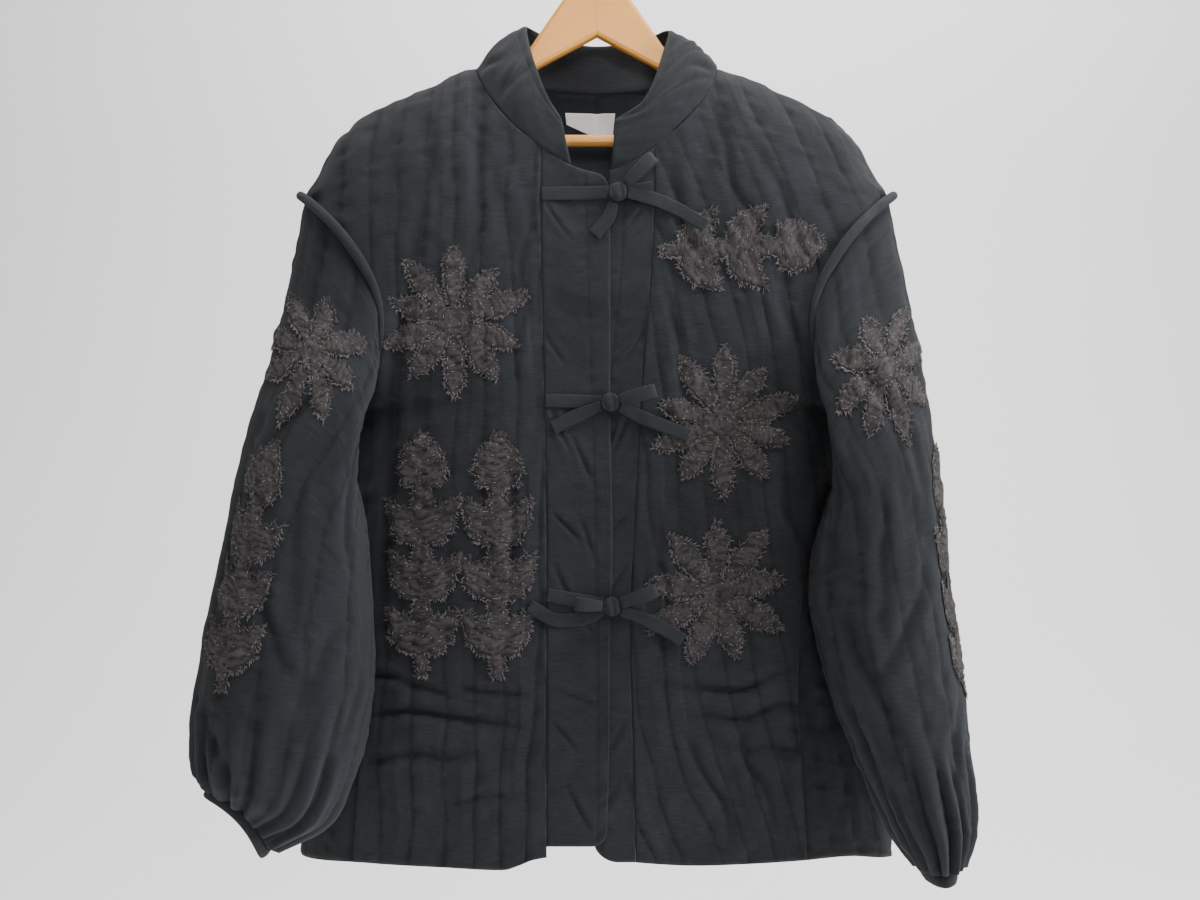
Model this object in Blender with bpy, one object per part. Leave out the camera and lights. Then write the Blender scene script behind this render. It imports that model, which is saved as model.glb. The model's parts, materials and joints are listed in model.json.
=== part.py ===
"""A quilted patchwork jacket with a stand collar, balloon sleeves and three pairs of ties, on a wooden hanger.

The tables hold real sizes in millimetres, and MM turns them into metres where a mesh is made.
+X is to the viewer's right, the front faces -Y, and +Z is up. The origin is the point inside the
hanger's hook that rests on a rail. "right" and "left" in the names are the wearer's own sides, so
the right front is at -X.
"""

import math

import bpy
import numpy as np
from mathutils import Vector
from mathutils.geometry import delaunay_2d_cdt

MM = 0.001

# Cloth
WALL = 2.3
SEAM_GAP = 0.4
QUILT_RISE = 1.1
FACING_RISE = 0.5
GATHER_RISE = 3.2
UNDERLAP_SET = 3.6
FOLD_NOSE = 14.0
SIDE_POWER, SIDE_SOFTNESS = 3.2, 0.7
SHOULDER_ROUND = 120.0

# Neck and armhole
NECK_HALF = 103.0
NECK_TOP = -149.0
FRONT_DROP = 98.0
BACK_DROP = 11.0
NECK_POWER = 1.5
NECK_RISE = 0.9
TIP_X, TIP_Z = 248.0, -260.0
UNDERARM_X, UNDERARM_Z = 205.0, -440.0
ARMHOLE_BOW = 45.0
PLACKET_TOP = -226.0


def table(columns, *rows):
    """Rows of numbers as one array for each named column."""
    return {name: np.array(column, float) for name, column in zip(columns.split(), zip(*rows))}


# The ridge along the top of the shoulders, from the neck out to the armhole.
SHOULDER = table(
    "x z",
    (103, -149),
    (150, -169),
    (200, -193),
    (218, -209),
    (233, -233),
    (248, -260),
)

# Level sections of the body. The side seams lie forward of the folds at the sides, by these angles.
BODY = table(
    "z half_width fold_y front_y back_y right_seam left_seam",
    (-830, 258, 22, -50, 48, 53, 43),
    (-720, 247, 21, -52, 48, 53, 43),
    (-640, 237, 20, -52, 48, 54, 45),
    (-560, 225, 16, -51, 47, 60, 54),
    (-500, 216, 10, -50, 46, 72, 68),
    (-440, 205, 2, -49, 45, 90, 90),
    (-350, 182, 0, -48, 44, 90, 90),
    (-149, 103, 0, -47, 44, 90, 90),
)

# Round the left armhole, from the shoulder's tip by the front (90), the underarm (180) and the back
# (270): the way the seam faces, the piping's radius there, and how far its middle stands off the seam.
SEAM = table(
    "turn x y z cord stand",
    (0, 0.95, 0.00, 0.30, 3.6, 6.4),
    (30, 0.60, -0.78, 0.15, 4.2, 5.4),
    (50, 0.20, -0.97, 0.10, 4.2, 5.4),
    (69, -0.05, -0.99, 0.05, 4.2, 5.6),
    (90, -0.60, -0.80, 0.00, 3.2, 5.8),
    (113, -0.75, -0.60, -0.22, 2.4, 5.4),
    (136, -0.49, -0.63, -0.61, 1.6, 5.2),
    (156, -0.15, -0.45, -0.88, 1.3, 5.4),
    (180, 0.40, 0.00, -0.92, 1.1, 6.2),
    (204, 0.30, 0.60, -0.74, 1.4, 4.8),
    (224, 0.33, 0.86, -0.40, 2.2, 4.8),
    (247, 0.25, 0.95, -0.12, 3.6, 5.2),
    (270, 0.20, 0.97, 0.00, 4.2, 5.6),
    (310, 0.40, 0.90, 0.20, 4.0, 6.0),
    (330, 0.72, 0.60, 0.35, 3.4, 7.2),
    (360, 0.95, 0.00, 0.30, 3.6, 6.4),
)

# The front bands: where each is sewn to its front, and where its free edge hangs.
BANDS = table(
    "z right_seam right_edge left_seam left_edge",
    (-820, -41, 7, 32, -2),
    (-728, -41, 10, 30, -5),
    (-614, -41, 11, 27, -9),
    (-560, -41, 13, 30, -7),
    (-434, -43, 11, 36, -2),
    (-270, -46, 11, 47, 9),
    (-220, -46, 11, 47, 11),
)

# The lower edge of the jacket, from side to side across the front.
HEM = table(
    "x z",
    (-258, -826),
    (-190, -819),
    (-130, -818),
    (-80, -819),
    (-41, -808),
    (0, -808),
    (30, -813),
    (80, -816),
    (140, -815),
    (200, -815),
    (258, -827),
)
BACK_HEM = -820.0

# Each band's width, the height of its lower edge, and the radius of its rounded lower corner. The
# right one's upper corner is rounded as well, by so many times that radius.
BAND_SHAPE = {-1: (50.0, -799.0, 12.0), 1: (34.0, -813.0, 20.0)}
BAND_TOP_CORNER = 1.6
BAND_CORNER_END = 0.97

BODY_ROWS = (
    -151, -162, -176, -194, -212, -226, -243, -260, -272, -292, -318, -350,
    -385, -415, -432, -440, -470, -515, -565, -620, -680, -740, -785,
)
FRONT_COLUMNS = 14
BACK_COLUMNS = 40
BACK_TOP_HALF, BACK_TOP_ROW = 140.0, -170
FOLD_REACH, FOLD_CROWD = 25.0, 2.0
BAND_ROWS = 18
BAND_COLUMNS = 4

# The collar's upper edge above each place round the neckline: 0 is the centre front, and the
# turn goes by the wearer's right shoulder (90), the back (180) and the left shoulder (270).
COLLAR = table(
    "turn top_x top_y top_z",
    (17.7, -29, -47, -203),
    (35, -39, -45, -187),
    (50, -47, -39, -168),
    (68, -56, -22, -138),
    (90, -61, -4, -114),
    (115, -56, 20, -110),
    (145, -34, 38, -115),
    (180, 0, 44, -118),
    (215, 34, 38, -116),
    (245, 56, 20, -112),
    (270, 62, -4, -118),
    (292, 56, -22, -140),
    (310, 47, -39, -170),
    (325, 38, -45, -188),
    (348.8, 15, -47, -204),
)
COLLAR_COLUMNS = 32
COLLAR_ROWS = 3
COLLAR_BULGE = 4.0
COLLAR_WALL = 3.0

# Sections of the sleeves below the armhole, from the outer end of each to the inner one.
SLEEVE_COLUMNS = "outer_x outer_z inner_x inner_z mid_y depth front_bow back_bow lift"
RIGHT_SLEEVE = table(
    SLEEVE_COLUMNS,
    (259, -338, 218, -455, -22, 42, 59, -10, 0),
    (265, -395, 202, -494, -47, 46, 40, 0, 0),
    (285, -475, 186, -545, -57, 46, 8, 0, 0),
    (301, -557, 182, -602, -60, 47, 0, 0, 0),
    (318, -637, 180, -655, -59, 49, 0, 0, 0),
    (325, -695, 188, -705, -59, 48, 0, 0, 0),
    (324, -722, 204, -752, -59, 43, 2, 2, 2),
    (321, -736, 232, -792, -59, 35, 6, 8, 6),
    (317, -744, 256, -806, -59, 26, 9, 12, 8),
    (312, -747, 264, -799, -59, 21, 9, 13, 8),
)
LEFT_SLEEVE = table(
    SLEEVE_COLUMNS,
    (257, -335, 217, -455, -23, 42, 58, -9, 0),
    (263, -392, 200, -494, -48, 46, 40, 0, 0),
    (273, -480, 180, -540, -59, 46, 8, 0, 0),
    (281, -573, 172, -590, -61, 47, 0, 0, 0),
    (291, -638, 181, -642, -59, 49, 0, 0, 0),
    (300, -715, 208, -716, -59, 47, 0, 0, 0),
    (303, -750, 225, -750, -59, 44, 0, 0, 0),
    (300, -775, 243, -785, -59, 41, 0, 0, 0),
    (293, -797, 256, -804, -59, 37, 0, 0, 0),
    (288, -808, 264, -812, -59, 33, 0, 0, 0),
)
SLEEVE_ROWS = 15
GATHER_START = 0.72
CUFF_WIDTH = 9.0
CUFF_WALL = 3.0
CUFF_ROWS = 2
CUFF_AXIS = {-1: (-0.72, 0.0, -0.69), 1: (0.05, 0.0, -1.0)}

PIPING_SIDES = 6

# The ties: the knot, then the free ends and loops that leave it, as flat strips on the fronts.
TIE_WIDTH = 11.0
TIE_WALL = 1.6
KNOT_WIDTH, KNOT_HEIGHT, KNOT_DEPTH, KNOT_LIFT = 15.0, 16.0, 10.0, 6.1
TIE_LAYER = 2.4
KNOT_RINGS = 4
TIE_STEPS = 5

# The hanger
WOOD_THICK = 12.0
WOOD_BELOW = 4.8
BAR_RADIUS, BAR_Z, BAR_HALF = 5.0, -211.0, 170.0
HOOK_WIRE, HOOK_RADIUS, HOOK_STEM = 1.8, 20.0, -80.0
FIT = 0.35

COLOURS = {
    "cloth": (0.030, 0.033, 0.037),
    "applique": (0.075, 0.062, 0.062),
    "label": (0.82, 0.82, 0.80),
    "wood": (0.62, 0.42, 0.22),
    "metal": (0.62, 0.62, 0.63),
}


# Curves through tables


def smooth(places, values, at):
    """Values at the places asked for, on a smooth curve through a table that doesn't overshoot it."""
    order = np.argsort(places)
    x, y = np.asarray(places, float)[order], np.asarray(values, float)[order]
    slope = np.diff(y) / np.diff(x)
    tangent = np.zeros_like(y)
    same = slope[:-1] * slope[1:] > 0
    tangent[1:-1][same] = 2 * slope[:-1][same] * slope[1:][same] / (slope[:-1] + slope[1:])[same]
    tangent[0], tangent[-1] = slope[0], slope[-1]
    at = np.clip(at, x[0], x[-1])
    i = np.clip(np.searchsorted(x, at) - 1, 0, len(x) - 2)
    gap = x[i + 1] - x[i]
    t = (at - x[i]) / gap
    return (
        (2 * t**3 - 3 * t**2 + 1) * y[i]
        + (t**3 - 2 * t**2 + t) * gap * tangent[i]
        + (3 * t**2 - 2 * t**3) * y[i + 1]
        + (t**3 - t**2) * gap * tangent[i + 1]
    )


def unit(vector):
    vector = np.asarray(vector, float)
    return vector / (np.linalg.norm(vector, axis=-1, keepdims=True) + 1e-12)


def mix(a, b, share):
    return a + (b - a) * share


# The body's surface


def body(column, z):
    return float(smooth(BODY["z"], BODY[column], z))


def ridge_z(x):
    """Height of the shoulder's ridge over x. Inside the neck it goes on rising, where no cloth is."""
    x = abs(x)
    if x < NECK_HALF:
        return NECK_TOP + NECK_RISE * (NECK_HALF - x)
    return float(smooth(SHOULDER["x"], SHOULDER["z"], x))


def armhole_turn(z):
    """Angle round the armhole at height z: 0 at the shoulder's tip, 180 at the underarm."""
    middle, half = (TIP_Z + UNDERARM_Z) / 2, (TIP_Z - UNDERARM_Z) / 2
    return math.acos(max(-1.0, min(1.0, (z - middle) / half)))


def armhole_x(turn):
    middle, half = (TIP_X + UNDERARM_X) / 2, (TIP_X - UNDERARM_X) / 2
    return middle + half * math.cos(turn) - ARMHOLE_BOW * math.sin(turn) ** 2


def edge_x(z):
    """Half the width of the cloth at height z: the shoulder's ridge, the armhole, or the side fold."""
    if z >= TIP_Z:
        return float(smooth(SHOULDER["z"], SHOULDER["x"], z))
    if z >= UNDERARM_Z:
        return armhole_x(armhole_turn(z))
    return body("half_width", z)


def body_y(x, z, side):
    """Depth of the body's surface: side -1 is the front, and 1 the back."""
    fold = body("fold_y", z)
    full = abs(body("front_y" if side < 0 else "back_y", z) - fold)
    if z <= UNDERARM_Z:
        open_share = 0.0
    elif z >= (TIP_Z + UNDERARM_Z) / 2:
        open_share = 1.0
    else:
        open_share = math.sin(armhole_turn(z))
    reach = min(abs(x) / edge_x(z), 1.0)
    flat = (full - FOLD_NOSE) * (1 - (1 - open_share) * reach**SIDE_POWER) ** SIDE_SOFTNESS
    nose = FOLD_NOSE * math.sqrt(max(0.0, 1 - (1 - open_share**2) * reach**2))
    near, far = min(abs(x), TIP_X - 8) - 4, min(abs(x), TIP_X - 8) + 4
    steep = math.hypot(1.0, (ridge_z(near) - ridge_z(far)) / 8)
    low = 1 - min(max((ridge_z(x) - z) / steep / SHOULDER_ROUND, 0.0), 1.0)
    return fold + side * (flat + nose) * math.sqrt(max(0.0, 1 - low * low))


def underlap(x):
    """How far the left front lies behind the right one, near the centre."""
    return UNDERLAP_SET * (1 - float(smooth((60, 130), (0, 1), x)))


def set_back(x, side, layer):
    return underlap(x) if layer and side < 0 else 0.0


def flat_frame(x, z, side, layer=0):
    """A point of the front or back as a surface over x and z, with its outward direction."""
    step = 1.5
    limit = edge_x(z)
    x0, x1 = max(x - step, -limit), min(x + step, limit)
    along_x = (body_y(x1, z, side) - body_y(x0, z, side)) / (x1 - x0)
    along_z = (body_y(x, z + step, side) - body_y(x, z - step, side)) / (2 * step)
    point = np.array((x, body_y(x, z, side) + set_back(x, side, layer), z))
    return point, unit((-side * along_x, side, -side * along_z))


def ring_frame(turn, z, layer=0):
    """A point of the closed body below the underarm. Turn 0 is the centre front, 90 the left fold."""

    def at(angle, height):
        side = -1 if math.cos(angle) > 0 else 1
        x = body("half_width", height) * math.sin(angle)
        return np.array((x, body_y(x, height, side) + set_back(x, side, layer), height))

    step = 0.01
    across = at(turn + step, z) - at(turn - step, z)
    up = at(turn, z + 2) - at(turn, z - 2)
    return at(turn, z), unit(np.cross(across, up))


def ridge_frame(x):
    """A point of the shoulder's ridge, with the direction that points up and out of the cloth."""
    sign, near, far = math.copysign(1, x), abs(x) - 2, abs(x) + 2
    slope = (ridge_z(min(far, TIP_X)) - ridge_z(max(near, NECK_HALF))) / (
        min(far, TIP_X) - max(near, NECK_HALF)
    )
    return np.array((x, 0.0, ridge_z(x))), unit((-slope * sign, 0.0, 1.0))


def armhole_frame(turn, sign, side):
    """A point of the armhole's edge. Both the body and the sleeve get their wall's direction here."""
    z = mix(UNDERARM_Z, TIP_Z, (1 + math.cos(turn)) / 2)
    x = armhole_x(turn)
    y = body_y(x, z, side)
    full = math.degrees(turn if side < 0 else 2 * math.pi - turn)
    outward = [float(smooth(SEAM["turn"], SEAM[axis], full)) for axis in "xyz"]
    outward[0] *= sign
    return np.array((sign * x, y, z)), unit(outward)


def panel_frame(x, z, side, layer=0):
    """The frame for a body panel's point, whichever part of the body it lies on."""
    if z == UNDERARM_Z and abs(x) >= edge_x(z) - 0.01:
        return armhole_frame(math.pi, math.copysign(1, x), side)
    if z <= UNDERARM_Z:
        turn = math.asin(max(-1.0, min(1.0, x / body("half_width", z))))
        return ring_frame(turn if side < 0 else math.pi - turn, z, layer)
    if abs(x) >= edge_x(z) - 0.01:
        if z > TIP_Z:
            return ridge_frame(x)
        return armhole_frame(armhole_turn(z), math.copysign(1, x), side)
    return flat_frame(x, z, side, layer)


# Making walls of cloth


def material(name):
    found = bpy.data.materials.get(name)
    if found:
        return found
    made = bpy.data.materials.new(name)
    made.use_nodes = True
    shader = made.node_tree.nodes["Principled BSDF"]
    shader.inputs["Base Color"].default_value = (*COLOURS[name], 1)
    shader.inputs["Roughness"].default_value = {"metal": 0.25, "wood": 0.45}.get(name, 0.9)
    shader.inputs["Metallic"].default_value = 1.0 if name == "metal" else 0.0
    made.diffuse_color = (*COLOURS[name], 1)
    return made


def solid(name, points, faces, finish):
    """One object from points in millimetres."""
    mesh = bpy.data.meshes.new(name)
    mesh.from_pydata([tuple(p) for p in np.asarray(points) * MM], [], faces)
    mesh.validate()
    mesh.materials.append(material(finish))
    mesh.shade_smooth()
    mesh.set_sharp_from_angle(angle=math.radians(40))
    made = bpy.data.objects.new(name, mesh)
    bpy.context.scene.collection.objects.link(made)
    return made


def quilt(rows, columns, rise):
    """How far each point of a panel stands up: every second column is a crest between stitched lines."""
    crest = np.zeros((rows, columns))
    crest[:, 1::2] = rise
    crest[0] *= 0.4
    crest[-1] *= 0.4
    return crest


def pull_edge(outer, inner, column, towards):
    """Moves one edge column of a wall a half gap in from its seam."""
    for r in range(len(outer)):
        step = unit(outer[r, towards] - outer[r, column]) * SEAM_GAP / 2
        outer[r, column] += step
        inner[r, column] += step


def sheet_wall(name, base, outward, rise, wall=WALL, finish="cloth", edges=("left", "right")):
    """A closed wall from a grid of points. The outside is quilted, and the inside has half the columns."""
    outer = base + outward * rise[..., None]
    inner = base - outward * wall
    if "left" in edges:
        pull_edge(outer, inner, 0, 1)
    if "right" in edges:
        pull_edge(outer, inner, -1, -2)
    rows, columns = outer.shape[:2]
    inner = inner[:, ::2]
    halves = inner.shape[1]
    points = np.concatenate([outer.reshape(-1, 3), inner.reshape(-1, 3)])

    def out(r, c):
        return r * columns + c

    def ins(r, c):
        return rows * columns + r * halves + c

    faces = []
    for r in range(rows - 1):
        for c in range(columns - 1):
            a, b, d, e = out(r, c), out(r, c + 1), out(r + 1, c + 1), out(r + 1, c)
            faces += [(a, b, d), (a, d, e)]
        for c in range(halves - 1):
            a, b, d, e = ins(r, c), ins(r, c + 1), ins(r + 1, c + 1), ins(r + 1, c)
            faces += [(a, d, b), (a, e, d)]
        last = columns - 1
        faces += [(out(r, 0), out(r + 1, 0), ins(r + 1, 0)), (out(r, 0), ins(r + 1, 0), ins(r, 0))]
        faces += [
            (out(r, last), ins(r + 1, halves - 1), out(r + 1, last)),
            (out(r, last), ins(r, halves - 1), ins(r + 1, halves - 1)),
        ]
    for r, flip in ((0, False), (rows - 1, True)):
        for c in range(halves - 1):
            a, b, d = out(r, 2 * c), out(r, 2 * c + 1), out(r, 2 * c + 2)
            p, q = ins(r, c), ins(r, c + 1)
            strip = [(a, p, b), (b, p, q), (b, q, d)]
            faces += [tuple(reversed(face)) for face in strip] if flip else strip
    made = solid(name, points, faces, finish)
    return face_outwards(made), {"outer": base, "outward": outward}


def face_outwards(made):
    """Turns a closed mesh's faces round if it encloses a negative volume."""
    mesh = made.data
    mesh.calc_loop_triangles()
    co = np.array([v.co for v in mesh.vertices])
    tri = np.array([t.vertices for t in mesh.loop_triangles])
    volume = np.einsum("ij,ij->i", co[tri[:, 0]], np.cross(co[tri[:, 1]], co[tri[:, 2]])).sum()
    if volume < 0:
        mesh.flip_normals()
    return made


def tube_wall(name, base, outward, rise, wall=WALL, finish="cloth"):
    """A wall that closes round on itself, open at both ends. The last column joins the first."""
    outer = base + outward * rise[..., None]
    inner = (base - outward * wall)[:, ::2]
    rows, columns = outer.shape[:2]
    halves = inner.shape[1]
    points = np.concatenate([outer.reshape(-1, 3), inner.reshape(-1, 3)])

    def out(r, c):
        return r * columns + c % columns

    def ins(r, c):
        return rows * columns + r * halves + c % halves

    faces = []
    for r in range(rows - 1):
        for c in range(columns):
            a, b, d, e = out(r, c), out(r, c + 1), out(r + 1, c + 1), out(r + 1, c)
            faces += [(a, b, d), (a, d, e)]
        for c in range(halves):
            a, b, d, e = ins(r, c), ins(r, c + 1), ins(r + 1, c + 1), ins(r + 1, c)
            faces += [(a, d, b), (a, e, d)]
    for r, flip in ((0, False), (rows - 1, True)):
        for c in range(halves):
            a, b, d = out(r, 2 * c), out(r, 2 * c + 1), out(r, 2 * c + 2)
            p, q = ins(r, c), ins(r, c + 1)
            strip = [(a, p, b), (b, p, q), (b, q, d)]
            faces += [tuple(reversed(face)) for face in strip] if flip else strip
    made = solid(name, points, faces, finish)
    return face_outwards(made), {"outer": base, "outward": outward}


# Fronts


def neckline_x(z):
    share = min(max((NECK_TOP - z) / FRONT_DROP, 0.0), 1.0)
    return NECK_HALF * (1 - share**NECK_POWER) ** (1 / NECK_POWER)


def front_panel(sign):
    """One front, from its band's seam or the neckline to the armhole or side seam."""
    word = "right" if sign < 0 else "left"
    base, outward = [], []
    for z in (*BODY_ROWS, None):
        height = HEM["z"].mean() if z is None else z
        seam = abs(float(smooth(BANDS["z"], BANDS[f"{word}_seam"], height)))
        inner = max(neckline_x(height), seam) if height > PLACKET_TOP - 1 else seam
        outer = edge_x(height)
        if height < UNDERARM_Z:
            outer *= math.sin(math.radians(body(f"{word}_seam", height)))
        row = []
        for c in range(FRONT_COLUMNS + 1):
            x = sign * mix(inner, outer, c / FRONT_COLUMNS)
            place = float(smooth(HEM["x"], HEM["z"], x)) if z is None else height
            row.append(panel_frame(x, place, -1, layer=sign > 0))
        base.append([p for p, n in row])
        outward.append([n for p, n in row])
    base, outward = np.array(base), np.array(outward)
    if sign < 0:
        on_ridge = sum(z >= TIP_Z for z in BODY_ROWS)
        base[:on_ridge, -1, 1] -= SEAM_GAP / 2
    rise = quilt(*base.shape[:2], QUILT_RISE)
    return sheet_wall(f"front_{word}", base, outward, rise)


def front_band(sign):
    """The band down one front edge. The right one is a wide flap over the left one."""
    word = "right" if sign < 0 else "left"
    width, bottom, corner = BAND_SHAPE[sign]
    base, outward = [], []
    for r in range(BAND_ROWS + 1):
        row_p, row_n = [], []
        for c in range(BAND_COLUMNS + 1):
            share = c / BAND_COLUMNS
            past = max(share * width - (width - corner), 0.0) / corner
            rounding = corner * (1 - math.sqrt(1 - (BAND_CORNER_END * past) ** 2))
            seam_top = float(smooth(BANDS["z"], BANDS[f"{word}_seam"], PLACKET_TOP))
            edge_top = float(smooth(BANDS["z"], BANDS[f"{word}_edge"], PLACKET_TOP))
            x_top = mix(seam_top, edge_top, share)
            share_x = min(abs(x_top) / NECK_HALF, 1.0) if x_top * sign > 0 else 0.0
            top = NECK_TOP - FRONT_DROP * (1 - share_x**NECK_POWER) ** (1 / NECK_POWER)
            if sign < 0:
                top -= rounding * BAND_TOP_CORNER
            z = mix(top - SEAM_GAP, bottom + rounding, r / BAND_ROWS)
            seam = float(smooth(BANDS["z"], BANDS[f"{word}_seam"], z))
            edge = float(smooth(BANDS["z"], BANDS[f"{word}_edge"], z))
            point, normal = flat_or_ring(mix(seam, edge, share), z, sign > 0)
            row_p.append(point)
            row_n.append(normal)
        base.append(row_p)
        outward.append(row_n)
    base, outward = np.array(base), np.array(outward)
    rise = quilt(*base.shape[:2], FACING_RISE)
    return sheet_wall(f"band_{word}", base, outward, rise, edges=("left",))


def flat_or_ring(x, z, layer):
    if layer:
        point, normal = panel_frame(x, z, -1)
        point[1] += UNDERLAP_SET
        return point, normal
    return panel_frame(x, z, -1)


# Back


def back_row(z):
    """Where the back's points lie at height z, from the left side round to the right one.

    They stand closer together at the folds at the sides.
    """
    if z < UNDERARM_Z:
        start = math.radians(body("left_seam", z))
        stop = 2 * math.pi - math.radians(body("right_seam", z))
        turns = np.linspace(start, stop, 600)
        half = body("half_width", z)
        dense = []
        for turn in turns:
            side = -1 if math.cos(turn) > 0 else 1
            x = half * math.sin(turn)
            dense.append((x, body_y(x, z, side)))
    else:
        turns = np.linspace(edge_x(z), -edge_x(z), 600)
        dense = [(x, body_y(x, z, 1)) for x in turns]
    dense = np.array(dense)
    steps = np.linalg.norm(np.diff(dense, axis=0), axis=1)
    length = np.concatenate([[0], np.cumsum(steps)])
    middle = (length[1:] + length[:-1]) / 2
    folds = length[np.argmax(dense[:, 0])], length[np.argmin(dense[:, 0])]
    nearness = sum(np.exp(-(((middle - fold) / FOLD_REACH) ** 2)) for fold in folds)
    weight = np.concatenate([[0], np.cumsum(steps * (1 + FOLD_CROWD * nearness))])
    return np.interp(np.linspace(0, weight[-1], BACK_COLUMNS + 1), weight, turns)


def back_panel():
    """The back, in one piece, round to the side seams at the front."""
    base, outward = [], []
    top = []
    for c in range(BACK_COLUMNS + 1):
        x = mix(BACK_TOP_HALF, -BACK_TOP_HALF, c / BACK_COLUMNS)
        if abs(x) >= NECK_HALF:
            top.append(ridge_frame(x))
        else:
            z = NECK_TOP - BACK_DROP * math.sqrt(1 - (x / NECK_HALF) ** 2)
            top.append(flat_frame(x, z, 1))
    base.append([p for p, n in top])
    outward.append([n for p, n in top])
    for z in [z for z in BODY_ROWS if z < BACK_TOP_ROW] + [None]:
        height = BACK_HEM if z is None else z
        row = []
        for place in back_row(height):
            if height < UNDERARM_Z:
                drop = 0.0
                if z is None and math.cos(place) > 0:
                    x = body("half_width", height) * math.sin(place)
                    drop = float(smooth(HEM["x"], HEM["z"], x)) - BACK_HEM
                row.append(ring_frame(place, height + drop))
            else:
                row.append(panel_frame(place, height, 1))
        base.append([p for p, n in row])
        outward.append([n for p, n in row])
    base, outward = np.array(base), np.array(outward)
    on_ridge = np.abs(base[..., 1]) < 1e-6
    base[on_ridge, 1] += SEAM_GAP / 2
    rise = quilt(*base.shape[:2], QUILT_RISE)
    return sheet_wall("back", base, outward, rise)


# Sleeves


def armhole_turns():
    """The body's rows as turns round the armhole: the tip, the front, the underarm and the back."""
    half = [armhole_turn(z) for z in BODY_ROWS if TIP_Z >= z >= UNDERARM_Z]
    return np.array(half + [2 * math.pi - turn for turn in half[-2:0:-1]])


def armhole_ring(sign, turns):
    """The armhole's edge as points."""
    frames = []
    for turn in turns:
        side = -1 if turn < math.pi - 1e-6 else 1
        frames.append(armhole_frame(turn if side < 0 else 2 * math.pi - turn, sign, side))
    return np.array([p for p, n in frames]), np.array([n for p, n in frames])


def with_middles(ring, end=None):
    """A closed ring of values with one more half-way along each side."""
    ring = np.asarray(ring)
    following = np.roll(ring, -1, axis=0)
    if end is not None:
        following[-1] = end
    return np.stack([ring, (ring + following) / 2], axis=1).reshape(-1, *ring.shape[1:])


def section_ring(sections, i, sign, turn):
    """One of a sleeve's sections as points, in the same order as the armhole's."""
    get = {name: column[i] for name, column in sections.items()}
    bow = np.where(np.sin(turn) >= 0, get["front_bow"], get["back_bow"]) * np.sin(turn) ** 2
    x = (get["outer_x"] + get["inner_x"]) / 2 + (get["outer_x"] - get["inner_x"]) / 2 * np.cos(turn)
    z = (get["outer_z"] + get["inner_z"]) / 2 + (get["outer_z"] - get["inner_z"]) / 2 * np.cos(turn)
    y = get["mid_y"] - get["depth"] * np.sin(turn)
    lift = get["lift"] * np.sin(turn) ** 2
    return np.stack([sign * (x - bow), y, z + lift], axis=1)


def grid_normals(grid, sign):
    """Outward directions of a closed tube's grid, from its neighbours both ways."""
    around = np.roll(grid, -1, axis=1) - np.roll(grid, 1, axis=1)
    along = np.gradient(grid, axis=0)
    return -unit(np.cross(along, around)) * sign


def sleeve(sign, sections):
    """A balloon sleeve: a tube from the armhole to the gathers above the cuff."""
    word = "right" if sign < 0 else "left"
    turns = armhole_turns()
    first, first_out = (with_middles(values) for values in armhole_ring(sign, turns))
    turns = with_middles(turns, 2 * math.pi)
    around = len(turns)
    keys = [first] + [section_ring(sections, i, sign, turns) for i in range(len(sections["depth"]))]
    keys = np.array(keys)
    steps = np.linalg.norm(np.diff(keys.mean(axis=1), axis=0), axis=1)
    places = np.concatenate([[0], np.cumsum(steps)])
    rows = np.linspace(0, places[-1], SLEEVE_ROWS + 1)
    grid = np.empty((len(rows), around, 3))
    for c in range(around):
        for axis in range(3):
            grid[:, c, axis] = smooth(places, keys[:, c, axis], rows)
    along_seam = np.roll(first, -1, axis=0) - np.roll(first, 1, axis=0)
    grid[0] += sign * unit(np.cross(first_out, along_seam)) * SEAM_GAP
    outward = grid_normals(grid, sign)
    outward[0] = unit(first_out)
    outward[-1] = unit(outward[-1] + cuff_normals(grid[-1], sign))
    share = rows / rows[-1]
    gather = np.clip((share - GATHER_START) / (1 - GATHER_START), 0, 1) ** 2
    crest = QUILT_RISE + (GATHER_RISE - QUILT_RISE) * gather
    rise = quilt(len(rows), around, 1.0) * crest[:, None]
    made = tube_wall(f"sleeve_{word}", grid, outward, rise)
    return made[0], {"outer": grid, "outward": outward}


def cuff_normals(ring, sign):
    """Outward directions of the short tube that runs on from a sleeve's end."""
    around = np.roll(ring, -1, axis=0) - np.roll(ring, 1, axis=0)
    return -unit(np.cross(CUFF_AXIS[sign], around)) * sign


def cuff(sign, made):
    """The narrow bound cuff that the sleeve is gathered into."""
    word = "right" if sign < 0 else "left"
    end, axis = made["outer"][-1], unit(CUFF_AXIS[sign])
    base = np.array([end + axis * (SEAM_GAP + CUFF_WIDTH * r / CUFF_ROWS) for r in range(CUFF_ROWS + 1)])
    outward = np.repeat(cuff_normals(end, sign)[None], len(base), axis=0)
    outward[0] = made["outward"][-1]
    rise = np.zeros(base.shape[:2])
    rise[1] = 0.8
    return tube_wall(f"cuff_{word}", base, outward, rise, wall=CUFF_WALL)


def round_tube(name, path, radii, sides, finish="cloth"):
    """A closed ring of cord along a closed path."""
    path = np.asarray(path)
    along = unit(np.roll(path, -1, axis=0) - np.roll(path, 1, axis=0))
    across = unit(np.cross(along, np.array((0.0, 0.02, 1.0))))
    upright = np.cross(across, along)
    count = len(path)
    points = []
    for i in range(count):
        for s in range(sides):
            angle = 2 * math.pi * s / sides
            points.append(path[i] + radii[i] * (math.cos(angle) * across[i] + math.sin(angle) * upright[i]))
    faces = []
    for i in range(count):
        for s in range(sides):
            j, t = (i + 1) % count, (s + 1) % sides
            faces.append((i * sides + s, j * sides + s, j * sides + t, i * sides + t))
    return face_outwards(solid(name, points, faces, finish))


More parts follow.
